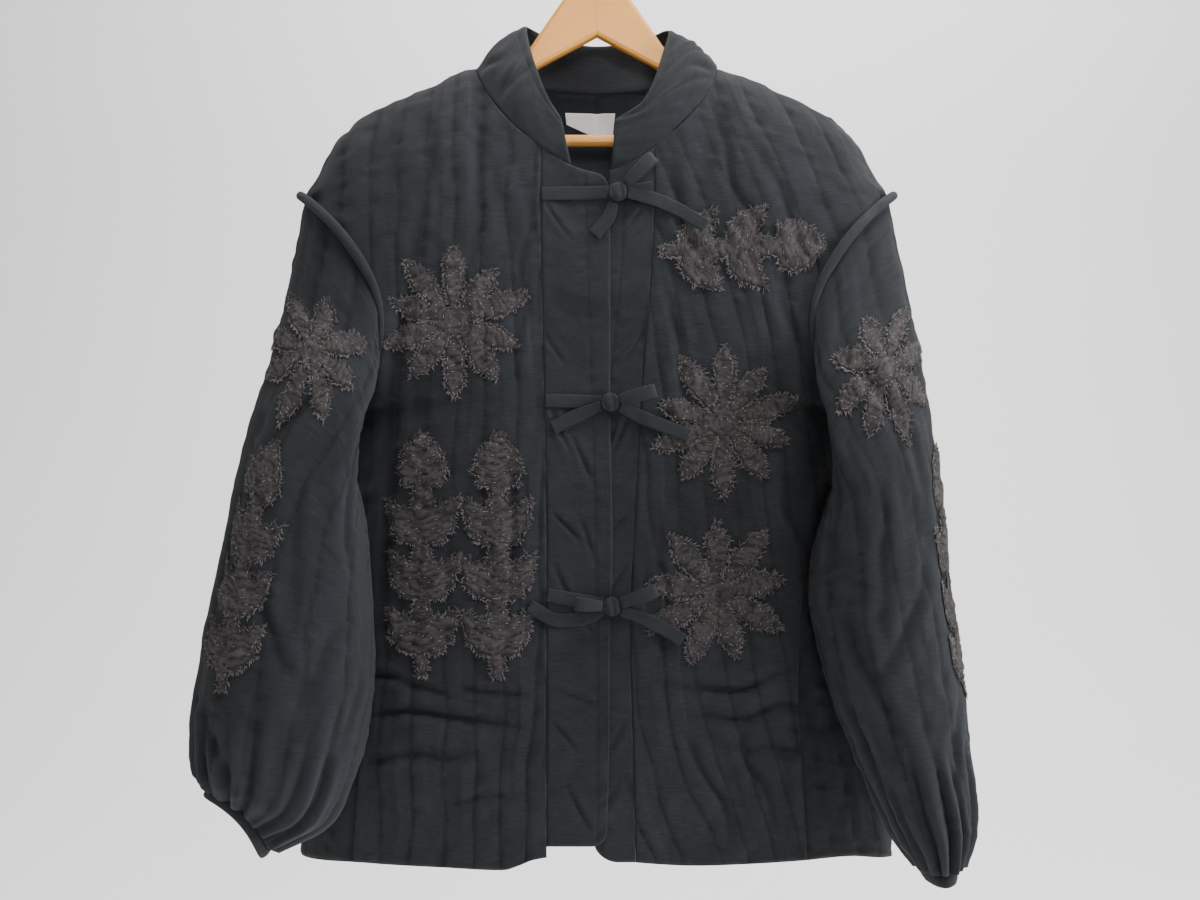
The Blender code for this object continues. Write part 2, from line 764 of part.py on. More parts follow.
def piping(sign):
    """The thick corded piping that stands on the armhole's seam."""
    word = "right" if sign < 0 else "left"
    turns = armhole_turns()
    ring, out = (with_middles(values) for values in armhole_ring(sign, turns))
    degrees = np.degrees(with_middles(turns, 2 * math.pi))
    path = ring + unit(out) * smooth(SEAM["turn"], SEAM["stand"], degrees)[:, None]
    return round_tube(f"piping_{word}", path, smooth(SEAM["turn"], SEAM["cord"], degrees), PIPING_SIDES)


# Collar


def neck_point(turn_degrees):
    """A point of the neckline's seam, and whether it lies on the front or the back."""
    turn = math.radians(turn_degrees)
    side = -1 if math.cos(turn) > 1e-6 else 1
    power = 2 / NECK_POWER
    if side < 0:
        x = -NECK_HALF * math.copysign(abs(math.sin(turn)) ** power, math.sin(turn))
        z = NECK_TOP - FRONT_DROP * abs(math.cos(turn)) ** power
    else:
        x = -NECK_HALF * math.sin(turn)
        z = NECK_TOP - BACK_DROP * abs(math.cos(turn))
    y = body_y(x, z, side) + set_back(x, side, turn_degrees > 270)
    return np.array((x, y, z))


def collar():
    turns = np.linspace(COLLAR["turn"][0], COLLAR["turn"][-1], COLLAR_COLUMNS + 1)
    low = np.array([neck_point(t) for t in turns])
    high = np.stack([smooth(COLLAR["turn"], COLLAR[f"top_{a}"], turns) for a in "xyz"], axis=1)
    up = unit(high - low)
    low = low + up * 1.2
    centre = (low.mean(axis=0) + high.mean(axis=0)) / 2
    around = np.gradient(low + high, axis=0)
    out = unit(np.cross(up, around))
    facing = np.einsum("ij,ij->i", out, (low + high) / 2 - centre)
    if facing.mean() < 0:
        out = -out
    rows = []
    for r in range(COLLAR_ROWS + 1):
        share = r / COLLAR_ROWS
        swell = COLLAR_BULGE * math.sin(math.pi * share)
        rows.append(mix(high, low, share) + out * swell)
    base = np.array(rows)
    outward = np.repeat(out[None], len(rows), axis=0)
    rise = quilt(*base.shape[:2], FACING_RISE)
    return sheet_wall("collar", base, outward, rise, wall=COLLAR_WALL, edges=())


# Applique patches


def flower_outline(reach, waist, width):
    """A flower seen flat: one rounded, notched petal for each reach in the list."""
    count = len(reach)
    points = []
    for i, far in enumerate(reach):
        middle = 2 * math.pi * i / count
        half = width * math.pi / count
        points.append((waist * math.sin(middle - math.pi / count), waist * math.cos(middle - math.pi / count)))
        for share, turn in ((0.78, -half), (1.0, -half * 0.35), (0.93, half * 0.35), (0.8, half)):
            points.append((share * far * math.sin(middle + turn), share * far * math.cos(middle + turn)))
    return points


def spray_outline(length, pairs, leaf, stem):
    """A leafy stem: leaves in pairs along it and one at its end, with its foot at the start."""
    sides = {1: [], -1: []}
    pitch = length / (pairs + 0.6)
    for k in range(pairs):
        base = pitch * (k + 0.35)
        far = leaf * (1 - 0.12 * k)
        for sign, side in sides.items():
            side.append((sign * stem, base))
            side.append((sign * far * 0.75, base + pitch * 0.08))
            side.append((sign * far, base + pitch * 0.45))
            side.append((sign * far * 0.62, base + pitch * 0.66))
            side.append((sign * stem, base + pitch * 0.7))
    tip = [(leaf * 0.42, length - pitch * 0.32), (0, length), (-leaf * 0.42, length - pitch * 0.32)]
    return [(stem, 0)] + sides[1] + tip + sides[-1][::-1] + [(-stem, 0)]


def turned(outline, degrees):
    c, s = math.cos(math.radians(degrees)), math.sin(math.radians(degrees))
    return [(c * a - s * b, s * a + c * b) for a, b in outline]


PATCH_LIFT = 2.1
PATCH_WALL = 1.1

ROUND_FLOWER = flower_outline((64, 56, 66, 58, 60, 64, 58, 62, 55, 66), 30, 0.74)
WIDE_FLOWER = flower_outline((60, 66, 58, 64, 56, 62, 66, 57, 63), 28, 0.74)
SMALL_FLOWER = flower_outline((52, 60, 50, 56, 60, 52, 58, 54), 26, 0.74)


def grid_place(grid, x, z):
    """Column and row of a panel's grid at a place seen from the front or the side."""
    best = None
    rows, columns = grid.shape[:2]
    for r in range(rows - 1):
        for c in range(columns - 1):
            a, b, d = grid[r, c], grid[r, c + 1], grid[r + 1, c]
            m = np.array(((b[0] - a[0], d[0] - a[0]), (b[2] - a[2], d[2] - a[2])))
            if abs(np.linalg.det(m)) < 1e-6:
                continue
            u, v = np.linalg.solve(m, (x - a[0], z - a[2]))
            off = max(-u, u - 1, -v, v - 1, 0)
            if best is None or off < best[0] - 1e-9:
                best = (off, c + u, r + v)
    return best[1], best[2]


def grid_point(grid, c, r, closed):
    """A point, or a direction, of a grid between its own points."""
    columns = grid.shape[1]
    r = min(max(r, 0.0), grid.shape[0] - 1.001)
    if not closed:
        c = min(max(c, 0.0), columns - 1.001)
    c0, r0 = math.floor(c), math.floor(r)
    u, v = c - c0, r - r0
    c1 = c0 + 1
    if closed:
        c0, c1 = c0 % columns, c1 % columns
    top = mix(grid[r0, c0], grid[r0, c1], u)
    low = mix(grid[r0 + 1, c0], grid[r0 + 1, c1], u)
    return mix(top, low, v)


def front_patch(name, panel, middle, outline):
    """A patch on a front: the outline lies flat on the panel as seen from before it."""
    grid = panel["outer"]
    flat = [(middle[0] + a, middle[1] + b) for a, b in outline]
    nodes = {}
    for r in range(grid.shape[0]):
        for c in range(grid.shape[1]):
            nodes[(c, r)] = (grid[r, c, 0], grid[r, c, 2])
    return patch(name, panel, flat, [grid_place(grid, x, z) for x, z in flat], nodes, False, PATCH_LIFT)


def sleeve_patch(name, panel, middle, outline, lift):
    """A patch on a sleeve, laid out in steps along and round it from the grid place at its middle."""
    grid = panel["outer"]
    c0, r0 = middle
    here = grid_point(grid, c0, r0, True)
    beside, below = grid_point(grid, c0 + 1, r0, True), grid_point(grid, c0, r0 + 1, True)
    wide, tall = np.linalg.norm(beside - here), np.linalg.norm(below - here)
    wide *= 1.0 if beside[0] > here[0] else -1.0
    places = [(c0 + a / wide, r0 - b / tall) for a, b in outline]
    nodes = {}
    for r in range(grid.shape[0]):
        for c in range(-grid.shape[1] // 2, grid.shape[1] // 2):
            nodes[(c, r)] = ((c - c0) * wide, (r0 - r) * tall)
    return patch(name, panel, outline, places, nodes, True, lift)


def patch(name, panel, flat, places, nodes, closed, lift):
    """A cut-out of cloth on a panel: it follows the panel's own points, moved out.

    flat is its outline laid out in millimetres, places the same on the panel's grid, and nodes the
    grid's own points laid out with it.
    """
    grid, outward = panel["outer"], panel["outward"]
    flat, places = split_at_columns(flat, places)
    if sum(a[0] * b[1] - b[0] * a[1] for a, b in zip(flat, flat[1:] + flat[:1])) < 0:
        flat, places = flat[::-1], places[::-1]
    count = len(flat)
    inside = {place: at for place, at in nodes.items() if deep_inside(at, flat)}
    rim = [(i, (i + 1) % count) for i in range(count)]
    spots = [Vector(p) for p in [*flat, *inside.values()]]
    found = delaunay_2d_cdt(spots, rim, [list(range(count))], 0, 1e-4)
    source = [*places, *inside]
    keep = [list(f) for f, owner in zip(found[2], found[5]) if owner]
    used = sorted({i for f in keep for i in f})
    number = {v: i for i, v in enumerate(used)}
    keep = [[number[i] for i in f] for f in keep]
    low, high = [], []
    for i in used:
        c, r = source[found[3][i][0]]
        point, normal = grid_point(grid, c, r, closed), unit(grid_point(outward, c, r, closed))
        low.append(point + normal * lift)
        high.append(point + normal * (lift + PATCH_WALL))
    size = len(used)
    ends = {(a, b) for f in keep for a, b in zip(f, f[1:] + f[:1])}
    faces = [tuple(i + size for i in f) for f in keep] + [tuple(reversed(f)) for f in keep]
    for a, b in ends:
        if (b, a) not in ends:
            faces += [(a, b, b + size), (a, b + size, a + size)]
    return face_outwards(solid(name, low + high, faces, "applique"))


def split_at_columns(flat, places):
    """An outline with a point more wherever it crosses one of the grid's columns."""
    more_flat, more_places = [], []
    for i, (a, b) in enumerate(zip(places, places[1:] + places[:1])):
        fa, fb = flat[i], flat[(i + 1) % len(flat)]
        shares = [0.0]
        for c in range(math.ceil(min(a[0], b[0])), math.floor(max(a[0], b[0])) + 1):
            share = (c - a[0]) / (b[0] - a[0]) if a[0] != b[0] else 0
            if 0.12 < share < 0.88:
                shares.append(share)
        for share in sorted(shares):
            more_flat.append(tuple(mix(p, q, share) for p, q in zip(fa, fb)))
            more_places.append(tuple(mix(p, q, share) for p, q in zip(a, b)))
    return more_flat, more_places


def deep_inside(at, outline, margin=4.0):
    """Whether a place lies in an outline and at least the margin from its rim."""
    x, y = at
    hit, near = False, math.inf
    for (ax, ay), (bx, by) in zip(outline, outline[1:] + outline[:1]):
        if (ay > y) != (by > y) and x < (bx - ax) * (y - ay) / (by - ay) + ax:
            hit = not hit
        length = (bx - ax) ** 2 + (by - ay) ** 2
        t = min(max(((x - ax) * (bx - ax) + (y - ay) * (by - ay)) / length, 0), 1)
        near = min(near, math.hypot(ax + t * (bx - ax) - x, ay + t * (by - ay) - y))
    return hit and near > margin


# Ties


def strip(name, path, widths, wall=TIE_WALL, finish="cloth", side_hint=(0, 0, 1)):
    """A flat strip of cloth along a path. Its width lies across the path, and its ends are closed."""
    path = np.asarray(path, float)
    along = unit(np.gradient(path, axis=0))
    across = unit(np.cross(along, np.array((0.0, -1.0, 0.0))))
    bad = np.linalg.norm(np.cross(along, (0.0, -1.0, 0.0)), axis=1) < 0.2
    across[bad] = unit(side_hint)
    for i in range(1, len(across)):
        if across[i] @ across[i - 1] < 0:
            across[i] *= -1
    thick = unit(np.cross(across, along))
    points = []
    for p, a, t, w in zip(path, across, thick, widths):
        points += [p + a * w / 2 + t * wall / 2, p - a * w / 2 + t * wall / 2]
        points += [p - a * w / 2 - t * wall / 2, p + a * w / 2 - t * wall / 2]
    faces = [(0, 1, 2, 3)]
    for i in range(len(path) - 1):
        for s in range(4):
            a, b = 4 * i + s, 4 * i + (s + 1) % 4
            faces.append((a, a + 4, b + 4, b))
    last = 4 * (len(path) - 1)
    faces.append((last + 3, last + 2, last + 1, last))
    return face_outwards(solid(name, points, faces, finish))


def on_front(x, z, lift):
    """A point in front of the cloth at x and z: of the right front, or of the left past its edge."""
    past = x > float(smooth(BANDS["z"], BANDS["right_edge"], z))
    point, normal = panel_frame(x, z, -1, layer=past)
    return point + normal * lift


def knot_outline():
    """The knot's outline as seen from the front, about its middle."""
    half = []
    for i in range(KNOT_RINGS + 1):
        share = 2 * i / KNOT_RINGS - 1
        half.append((knot_swell(share) * KNOT_WIDTH / 2, KNOT_HEIGHT / 2 * share))
    corners = half + [(-x, z) for x, z in reversed(half)]
    points = []
    for p, q in zip(corners, corners[1:] + corners[:1]):
        points += [(mix(p[0], q[0], k / 12), mix(p[1], q[1], k / 12)) for k in range(12)]
    return np.array(points)


def knot_swell(share):
    return math.sqrt(max(0.0, 1 - (0.72 * share) ** 2))


def knot_edge(direction, width):
    """How far from the knot's middle a strip's end must start to lie just clear of it."""
    direction = unit(direction)
    outline = knot_outline()
    beside = np.abs(outline @ np.array((-direction[1], direction[0]))) <= width / 2
    return (outline[beside] @ direction).max() + FIT


def knot(name, middle):
    """The knot: a short, rounded roll of cloth that the ends come out of."""
    points, faces = [], []
    sides = 8
    for i in range(KNOT_RINGS + 1):
        share = 2 * i / KNOT_RINGS - 1
        swell = knot_swell(share)
        for s in range(sides):
            angle = 2 * math.pi * (s + 0.5) / sides
            flat = math.cos(math.pi / sides)
            across = KNOT_WIDTH / 2 * math.cos(angle) / flat
            deep = KNOT_DEPTH / 2 * math.sin(angle) / flat
            points.append(middle + np.array((across * swell, deep * swell, KNOT_HEIGHT / 2 * share)))
    for i in range(KNOT_RINGS):
        for s in range(sides):
            a, b = i * sides + s, i * sides + (s + 1) % sides
            faces.append((a, b, b + sides, a + sides))
    faces.append(tuple(range(sides - 1, -1, -1)))
    faces.append(tuple(range(KNOT_RINGS * sides, KNOT_RINGS * sides + sides)))
    return face_outwards(solid(name, points, faces, "cloth"))


def free_end(name, middle, places):
    """A tie's free end, from the knot out over the fronts. Each place has its height off the cloth."""
    way = np.array(places[0][:2]) - middle[[0, 2]]
    start = middle[[0, 2]] + unit(way) * (knot_edge(way, TIE_WIDTH) + 0.3)
    path = [np.array((start[0], middle[1], start[1]))]
    path += [on_front(x, z, lift) for x, z, lift in places]
    path = np.array(path)
    at, steps = np.arange(len(path)), np.linspace(0, len(path) - 1, TIE_STEPS + 1)
    path = np.stack([smooth(at, path[:, axis], steps) for axis in range(3)], axis=1)
    return strip(name, path, mix(TIE_WIDTH * 0.75, TIE_WIDTH, np.clip(steps, 0, 1)))


def loop(name, middle, tip, height):
    """A tie's loop: it leaves the knot, turns at its tip and comes back in front of itself."""
    tip = np.array(tip, float)
    way = tip - middle[[0, 2]]
    start = middle[[0, 2]] + unit(way) * knot_edge(way, TIE_WIDTH)
    path = []
    for share, up in LOOP:
        x, z = mix(start, tip, share)
        path.append((x, middle[1] - TIE_LAYER - height * up, z))
    hint = unit((-way[1], 0.0, way[0]))
    return strip(name, path, [TIE_WIDTH] * len(path), side_hint=hint)


def strap(name, seam_x, z, middle, lift):
    """The sewn-down part of a tie, from its band's seam to the knot."""
    way = np.array((seam_x, z)) - middle[[0, 2]]
    end = middle[[0, 2]] + unit(way) * knot_edge(way, TIE_WIDTH)
    path = []
    for share in (0.0, 0.4, 0.75, 1.0):
        x, height = mix(seam_x, end[0], share), mix(z, end[1], share)
        flat = on_front(x, height, lift)
        if share > 0.9:
            flat = np.array((x, middle[1] + TIE_LAYER, height))
        path.append(flat)
    return strip(name, path, [TIE_WIDTH] * 4)


# Each bow: the knot's place, the heights of its two straps at their seams, the tips of its loops,
# and the places its free ends go by, each with its height off the cloth.
BOWS = (
    {
        "knot": (17, -264.5), "straps": (-265.5, -260.0),
        "loops": ((46, -238),),
        "ends": (((40, -268, 6.0), (62, -276, 4.6), (89, -292, 4.6)), ((10, -284, 4.0), (-2, -299, 1.7))),
    },
    {
        "knot": (11, -436), "straps": (-434.5, -438.5),
        "loops": ((47, -427),),
        "ends": (((-16, -447, 3.2), (-36, -457, 1.8)), ((36, -448, 4.0), (56, -456, 4.6), (75, -463, 4.6))),
    },
    {
        "knot": (12, -602), "straps": (-593.0, -600.5),
        "loops": ((-17, -599), (48, -588)),
        "ends": (((-8, -611, 3.6), (-30, -614, 1.8), (-55, -602, 2.3)), ((44, -615, 4.4), (70, -630, 4.6))),
    },
)
LOOP = (
    (0.0, 0.0), (0.35, 0.0), (0.7, 0.04), (0.92, 0.18), (1.0, 0.5),
    (0.92, 0.84), (0.7, 0.95), (0.35, 0.75), (0.0, 0.32),
)


def ties():
    for number, bow in enumerate(BOWS, 1):
        kx, kz = bow["knot"]
        middle = panel_frame(kx, kz, -1)[0] + np.array((0, -KNOT_LIFT, 0))
        right_seam = float(smooth(BANDS["z"], BANDS["right_seam"], kz)) + 1.0
        left_seam = float(smooth(BANDS["z"], BANDS["left_seam"], kz)) - 1.0
        z_right, z_left = bow["straps"]
        knot(f"tie{number}_knot", middle)
        strap(f"tie{number}_strap_right", right_seam, z_right, middle, 1.7)
        strap(f"tie{number}_strap_left", left_seam, z_left, middle, 1.7)
        for letter, tip in zip("ab", bow["loops"]):
            loop(f"tie{number}_loop_{letter}", middle, tip, 8.0)
        for letter, places in zip("ab", bow["ends"]):
            free_end(f"tie{number}_end_{letter}", middle, places)


# Label and hanger


def label():
    """The bare white label at the back of the neck. Its lower edge hangs aslant."""
    corners = ((-28, -178), (16, -178), (13, -206), (-27, -188))
    thick = 0.8
    near = [np.array((x, body_y(x, -180, 1) - WALL - 0.75, z)) for x, z in corners]
    points = [p - np.array((0, thick, 0)) for p in near] + near
    faces = [(0, 1, 2, 3), (7, 6, 5, 4)]
    faces += [(i, i + 4, (i + 1) % 4 + 4, (i + 1) % 4) for i in range(4)]
    return face_outwards(solid("label", points, faces, "label"))


def wood_outline():
    """The hanger's face: the peak, the arms under the shoulders and the notch below."""
    right = [(0, -66), (9, -67.5), (15, -73), (30, -93), (44, -113), (56, -131), (78, -151), (92, -163)]
    right += [(x, ridge_z(x) - WOOD_BELOW) for x in (108, 125, 150, 172)]
    right += [(184, -199), (190, -206), (189, -214), (182, -219), (165, -214), (140, -200)]
    right += [(100, -177), (53, -151), (0, -122.4)]
    left = [(-x, z) for x, z in reversed(right[1:-1])]
    return right + left


def cutter(name, radius, start, stop):
    """A rod used to drill the wood."""
    start, stop = Vector(start), Vector(stop)
    bpy.ops.mesh.primitive_cylinder_add(vertices=16, radius=radius * MM, depth=(stop - start).length * MM)
    made = bpy.context.object
    made.name = name
    made.location = (start + stop) / 2 * MM
    made.rotation_mode = "QUATERNION"
    made.rotation_quaternion = (stop - start).to_track_quat("Z", "Y")
    return made


def hanger():
    outline = wood_outline()
    count = len(outline)
    front = [(x, -WOOD_THICK / 2, z) for x, z in outline]
    back = [(x, WOOD_THICK / 2, z) for x, z in outline]
    faces = [tuple(range(count)), tuple(range(2 * count - 1, count - 1, -1))]
    faces += [(i, i + count, (i + 1) % count + count, (i + 1) % count) for i in range(count)]
    wood = face_outwards(solid("hanger_wood", front + back, faces, "wood"))
    bevel = wood.modifiers.new("rounded_edges", "BEVEL")
    bevel.width = 3.4 * MM
    bevel.segments = 2
    bevel.limit_method = "ANGLE"
    bevel.angle_limit = math.radians(60)
    drills = [
        cutter("drill_bar", BAR_RADIUS + FIT, (-BAR_HALF - 6, 0, BAR_Z), (BAR_HALF + 6, 0, BAR_Z)),
        cutter("drill_hook", HOOK_WIRE + FIT, (0, 0, HOOK_STEM - 1), (0, 0, -50)),
    ]
    for drill in drills:
        drill.hide_render = True
        drill.display_type = "WIRE"
        cut = wood.modifiers.new(drill.name, "BOOLEAN")
        cut.operation = "DIFFERENCE"
        cut.object = drill
    bar = cutter("hanger_bar", BAR_RADIUS, (-BAR_HALF - 5.6, 0, BAR_Z), (BAR_HALF + 5.6, 0, BAR_Z))
    bar.data.materials.append(material("wood"))
    bar.data.shade_smooth()
    bar.data.set_sharp_from_angle(angle=math.radians(40))
    hook()


def hook():
    """The wire hook: a stem in the wood, then most of a circle, whose inside rests on a rail."""
    top = HOOK_WIRE
    centre_z = top - HOOK_RADIUS
    points = [(0, HOOK_STEM), (0, -62), (0, -48)]
    for degrees in range(-75, 196, 15):
        angle = math.radians(degrees)
        points.append((HOOK_RADIUS * math.cos(angle), centre_z + HOOK_RADIUS * math.sin(angle)))
    curve = bpy.data.curves.new("hanger_hook", "CURVE")
    curve.dimensions = "3D"
    curve.bevel_depth = HOOK_WIRE * MM
    curve.bevel_resolution = 2
    curve.use_fill_caps = True
    spline = curve.splines.new("POLY")
    spline.points.add(len(points) - 1)
    for knot_point, (x, z) in zip(spline.points, points):
        knot_point.co = (x * MM, 0, z * MM, 1)
    curve.materials.append(material("metal"))
    made = bpy.data.objects.new("hanger_hook", curve)
    bpy.context.scene.collection.objects.link(made)


def main():
    for old in list(bpy.data.objects):
        bpy.data.objects.remove(old)
    _, front_right = front_panel(-1)
    _, front_left = front_panel(1)
    back_panel()
    front_band(-1)
    front_band(1)
    collar()
    _, sleeve_right = sleeve(-1, RIGHT_SLEEVE)
    _, sleeve_left = sleeve(1, LEFT_SLEEVE)
    cuff(-1, sleeve_right)
    cuff(1, sleeve_left)
    piping(-1)
    piping(1)
    fronts = {"right": front_right, "left": front_left}
    for name, side, x, z, outline in (
        ("patch_flower_right", "right", -117, -370, ROUND_FLOWER),
        ("patch_stem_right_a", "right", -144, -661, spray_outline(200, 4, 31, 5)),
        ("patch_stem_right_b", "right", -81, -661, spray_outline(200, 4, 30, 5)),
        ("patch_spray_left", "left", 52, -312, turned(spray_outline(128, 3, 34, 6), -88)),
        ("patch_flower_left_a", "left", 103, -452, ROUND_FLOWER),
        ("patch_flower_left_b", "left", 98, -592, WIDE_FLOWER),
    ):
        front_patch(name, fronts[side], (x, z), outline)
    around = sleeve_right["outer"].shape[1]
    for name, panel, middle, outline, lift in (
        ("patch_flower_sleeve_right", sleeve_right, (around * 0.12, 3.2), SMALL_FLOWER, 2.6),
        ("patch_stem_sleeve_right", sleeve_right, (around * 0.14, 11.2), spray_outline(190, 4, 27, 5), 2.1),
        ("patch_flower_sleeve_left", sleeve_left, (around * 0.13, 3.4), SMALL_FLOWER, 2.3),
        ("patch_stem_sleeve_left", sleeve_left, (around * 0.03, 10.6), spray_outline(170, 4, 27, 5), 2.1),
    ):
        sleeve_patch(name, panel, middle, outline, lift)
    ties()
    label()
    hanger()


main()
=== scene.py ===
# %% [markdown]
# A quilted patchwork jacket hangs on a wooden coat hanger. A plain model of every sewn piece is
# packed already and fixes where each one is. This lesson dresses that model: each panel becomes a
# thin wall of quilted cloth with its own puffs, creases and stitches, and each finish is a material.

import json
import math

import bpy
import numpy as np
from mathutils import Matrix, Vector
from mathutils.geometry import delaunay_2d_cdt

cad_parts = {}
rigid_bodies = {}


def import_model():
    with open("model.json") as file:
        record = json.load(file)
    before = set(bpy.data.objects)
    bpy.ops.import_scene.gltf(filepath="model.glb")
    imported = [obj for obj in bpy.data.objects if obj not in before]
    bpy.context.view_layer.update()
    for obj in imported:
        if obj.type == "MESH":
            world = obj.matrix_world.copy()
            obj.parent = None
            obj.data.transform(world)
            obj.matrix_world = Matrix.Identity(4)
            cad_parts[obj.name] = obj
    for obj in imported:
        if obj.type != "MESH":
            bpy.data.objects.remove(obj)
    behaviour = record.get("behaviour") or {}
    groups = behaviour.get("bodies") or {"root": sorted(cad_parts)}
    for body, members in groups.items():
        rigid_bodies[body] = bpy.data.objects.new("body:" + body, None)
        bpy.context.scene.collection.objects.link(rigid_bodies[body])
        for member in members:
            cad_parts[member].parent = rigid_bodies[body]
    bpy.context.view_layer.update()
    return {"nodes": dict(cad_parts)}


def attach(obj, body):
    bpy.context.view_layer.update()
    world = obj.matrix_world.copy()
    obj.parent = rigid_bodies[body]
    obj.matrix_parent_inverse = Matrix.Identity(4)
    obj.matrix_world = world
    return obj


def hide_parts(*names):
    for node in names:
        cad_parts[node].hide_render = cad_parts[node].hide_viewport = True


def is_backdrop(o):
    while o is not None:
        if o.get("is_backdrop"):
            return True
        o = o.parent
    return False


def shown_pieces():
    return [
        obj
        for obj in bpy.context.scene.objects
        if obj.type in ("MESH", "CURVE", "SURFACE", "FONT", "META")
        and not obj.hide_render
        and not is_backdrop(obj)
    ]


for old in list(bpy.data.objects):
    bpy.data.objects.remove(old)
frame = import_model()
MM = 0.001


# %% [markdown]
# The camera stands level in front of the jacket, a little over a metre away. A lens of about
# 40 mm gives the photograph's framing. It could also be matched by eye, but the width of the
# hanger and the height of the picture's middle fix it better.

# %% Camera
def add_object(name, data):
    made = bpy.data.objects.new(name, data)
    bpy.context.scene.collection.objects.link(made)
    return made


camera = add_object("camera", bpy.data.cameras.new("camera"))
camera.data.lens = 40.23
camera.data.sensor_width = 36.0
camera.location = (0.0026, -1.145, -0.475)
camera.rotation_euler = (math.pi / 2, 0, 0)
bpy.context.scene.camera = camera
print("camera at", tuple(round(v, 4) for v in camera.location))


# %% [markdown]
# Small helpers for shader trees. A node is made with its settings and its inputs in one call, and
# an input takes a number, a colour or another node's output.

# %% Helpers for materials
def node(tree, kind, inputs=None, **settings):
    made = tree.nodes.new(kind)
    for name, value in settings.items():
        setattr(made, name, value)
    for name, value in (inputs or {}).items():
        if isinstance(value, bpy.types.NodeSocket):
            tree.links.new(value, made.inputs[name])
        else:
            made.inputs[name].default_value = value
    return made


def maths(tree, operation, a, b=0.0):
    return node(tree, "ShaderNodeMath", {0: a, 1: b}, operation=operation).outputs[0]


def blend(tree, share, a, b, kind="MIX"):
    made = node(tree, "ShaderNodeMix", {0: share, 6: a, 7: b}, data_type="RGBA", blend_type=kind)
    return made.outputs[2]


def new_material(name):
    made = bpy.data.materials.new(name)
    made.use_nodes = True
    return made, made.node_tree, made.node_tree.nodes["Principled BSDF"]


def shade(value):
    return (value, value, value, 1.0)


# %% [markdown]
# The jacket hangs clear of a pale wall. One sheet runs along the floor and bends up into the wall,
# so that no edge shows behind the jacket. A wall that stood close behind it would hide the jacket
# in the views from the back, so this one stands well away.

# %% Floor and wall
FLOOR_Z, WALL_Y, BEND = -1.25, 3.2, 1.7


def backdrop():
    profile = [(-9.0, FLOOR_Z), (-2.0, FLOOR_Z), (WALL_Y - BEND, FLOOR_Z)]
    for step in range(1, 17):
        turn = math.pi / 2 * step / 16
        profile.append((WALL_Y - BEND + BEND * math.sin(turn), FLOOR_Z + BEND * (1 - math.cos(turn))))
    profile.append((WALL_Y, 7.0))
    points = [(x, y, z) for y, z in profile for x in (-9.0, 9.0)]
    faces = [(2 * i, 2 * i + 1, 2 * i + 3, 2 * i + 2) for i in range(len(profile) - 1)]
    mesh = bpy.data.meshes.new("backdrop")
    mesh.from_pydata(points, [], faces)
    mesh.shade_smooth()
    return add_object("backdrop", mesh)


paint, tree, shader = new_material("pale_paint")
coordinates = node(tree, "ShaderNodeTexCoord").outputs["Object"]
mottle = node(tree, "ShaderNodeTexNoise", {"Vector": coordinates, "Scale": 1.5, "Detail": 3.0})
tree.links.new(blend(tree, mottle.outputs["Fac"], (0.86, 0.85, 0.84, 1), (0.89, 0.88, 0.87, 1)), shader.inputs["Base Color"])
shader.inputs["Roughness"].default_value = 0.9
floor = backdrop()
floor.data.materials.append(paint)
floor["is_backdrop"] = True
print("backdrop bends up", WALL_Y, "m behind the hook")


# %% [markdown]
# Soft light comes from a wide panel above and before the jacket, as from a shop's ceiling. A second
# panel low at the left grazes the cloth, which lets the quilting show, and the sky fills the rest.

# %% Light
def area_light(name, place, target, size, power, colour, spread=180.0):
    data = bpy.data.lights.new(name, "AREA")
    data.shape = "SQUARE"
    data.size = size
    data.energy = power
    data.color = colour
    data.spread = math.radians(spread)
    made = add_object(name, data)
    made.location = place
    made.rotation_euler = (Vector(target) - Vector(place)).to_track_quat("-Z", "Y").to_euler()


area_light("ceiling_light", (0.45, -0.72, 1.15), (0, 0, -0.4), 0.6, 40, (1.0, 0.98, 0.95))
area_light("side_light", (2.1, -0.85, 0.1), (0, 0, -0.5), 0.7, 56, (0.95, 0.98, 1.0))
area_light("front_light", (0.2, -2.6, -0.1), (0, 0, -0.2), 0.6, 13, (1.0, 1.0, 1.0))
area_light("neck_light", (0.04, -1.7, -0.04), (0, 0, -0.14), 0.25, 0.3, (1.0, 0.99, 0.97), 22.0)
area_light("wall_light", (0.6, 1.2, 2.6), (0.3, 3.0, -0.3), 2.5, 190, (1.0, 1.0, 1.0))
world = bpy.data.worlds.new("sky")
world.use_nodes = True
world.node_tree.nodes["Background"].inputs["Color"].default_value = (0.93, 0.95, 1.0, 1)
world.node_tree.nodes["Background"].inputs["Strength"].default_value = 0.42
bpy.context.scene.world = world


# %% [markdown]
# The tables below are the jacket's own sizes in millimetres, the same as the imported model's: the
# shoulder's ridge, level sections of the body, the armhole, the bands, the hem, the collar and the
# sleeves. Cloth is easier to shape from a few named sections than from thousands of points.

# %% Sizes of the jacket
# Cloth
WALL = 2.3
SEAM_GAP = 0.4
QUILT_RISE = 1.1
FACING_RISE = 0.5
GATHER_RISE = 3.2
UNDERLAP_SET = 3.6
FOLD_NOSE = 14.0
SIDE_POWER, SIDE_SOFTNESS = 3.2, 0.7
SHOULDER_ROUND = 120.0

# Neck and armhole
NECK_HALF = 103.0
NECK_TOP = -149.0
FRONT_DROP = 98.0
BACK_DROP = 11.0
NECK_POWER = 1.5
NECK_RISE = 0.9
TIP_X, TIP_Z = 248.0, -260.0
UNDERARM_X, UNDERARM_Z = 205.0, -440.0
ARMHOLE_BOW = 45.0
PLACKET_TOP = -226.0


def table(columns, *rows):
    """Rows of numbers as one array for each named column."""
    return {name: np.array(column, float) for name, column in zip(columns.split(), zip(*rows))}


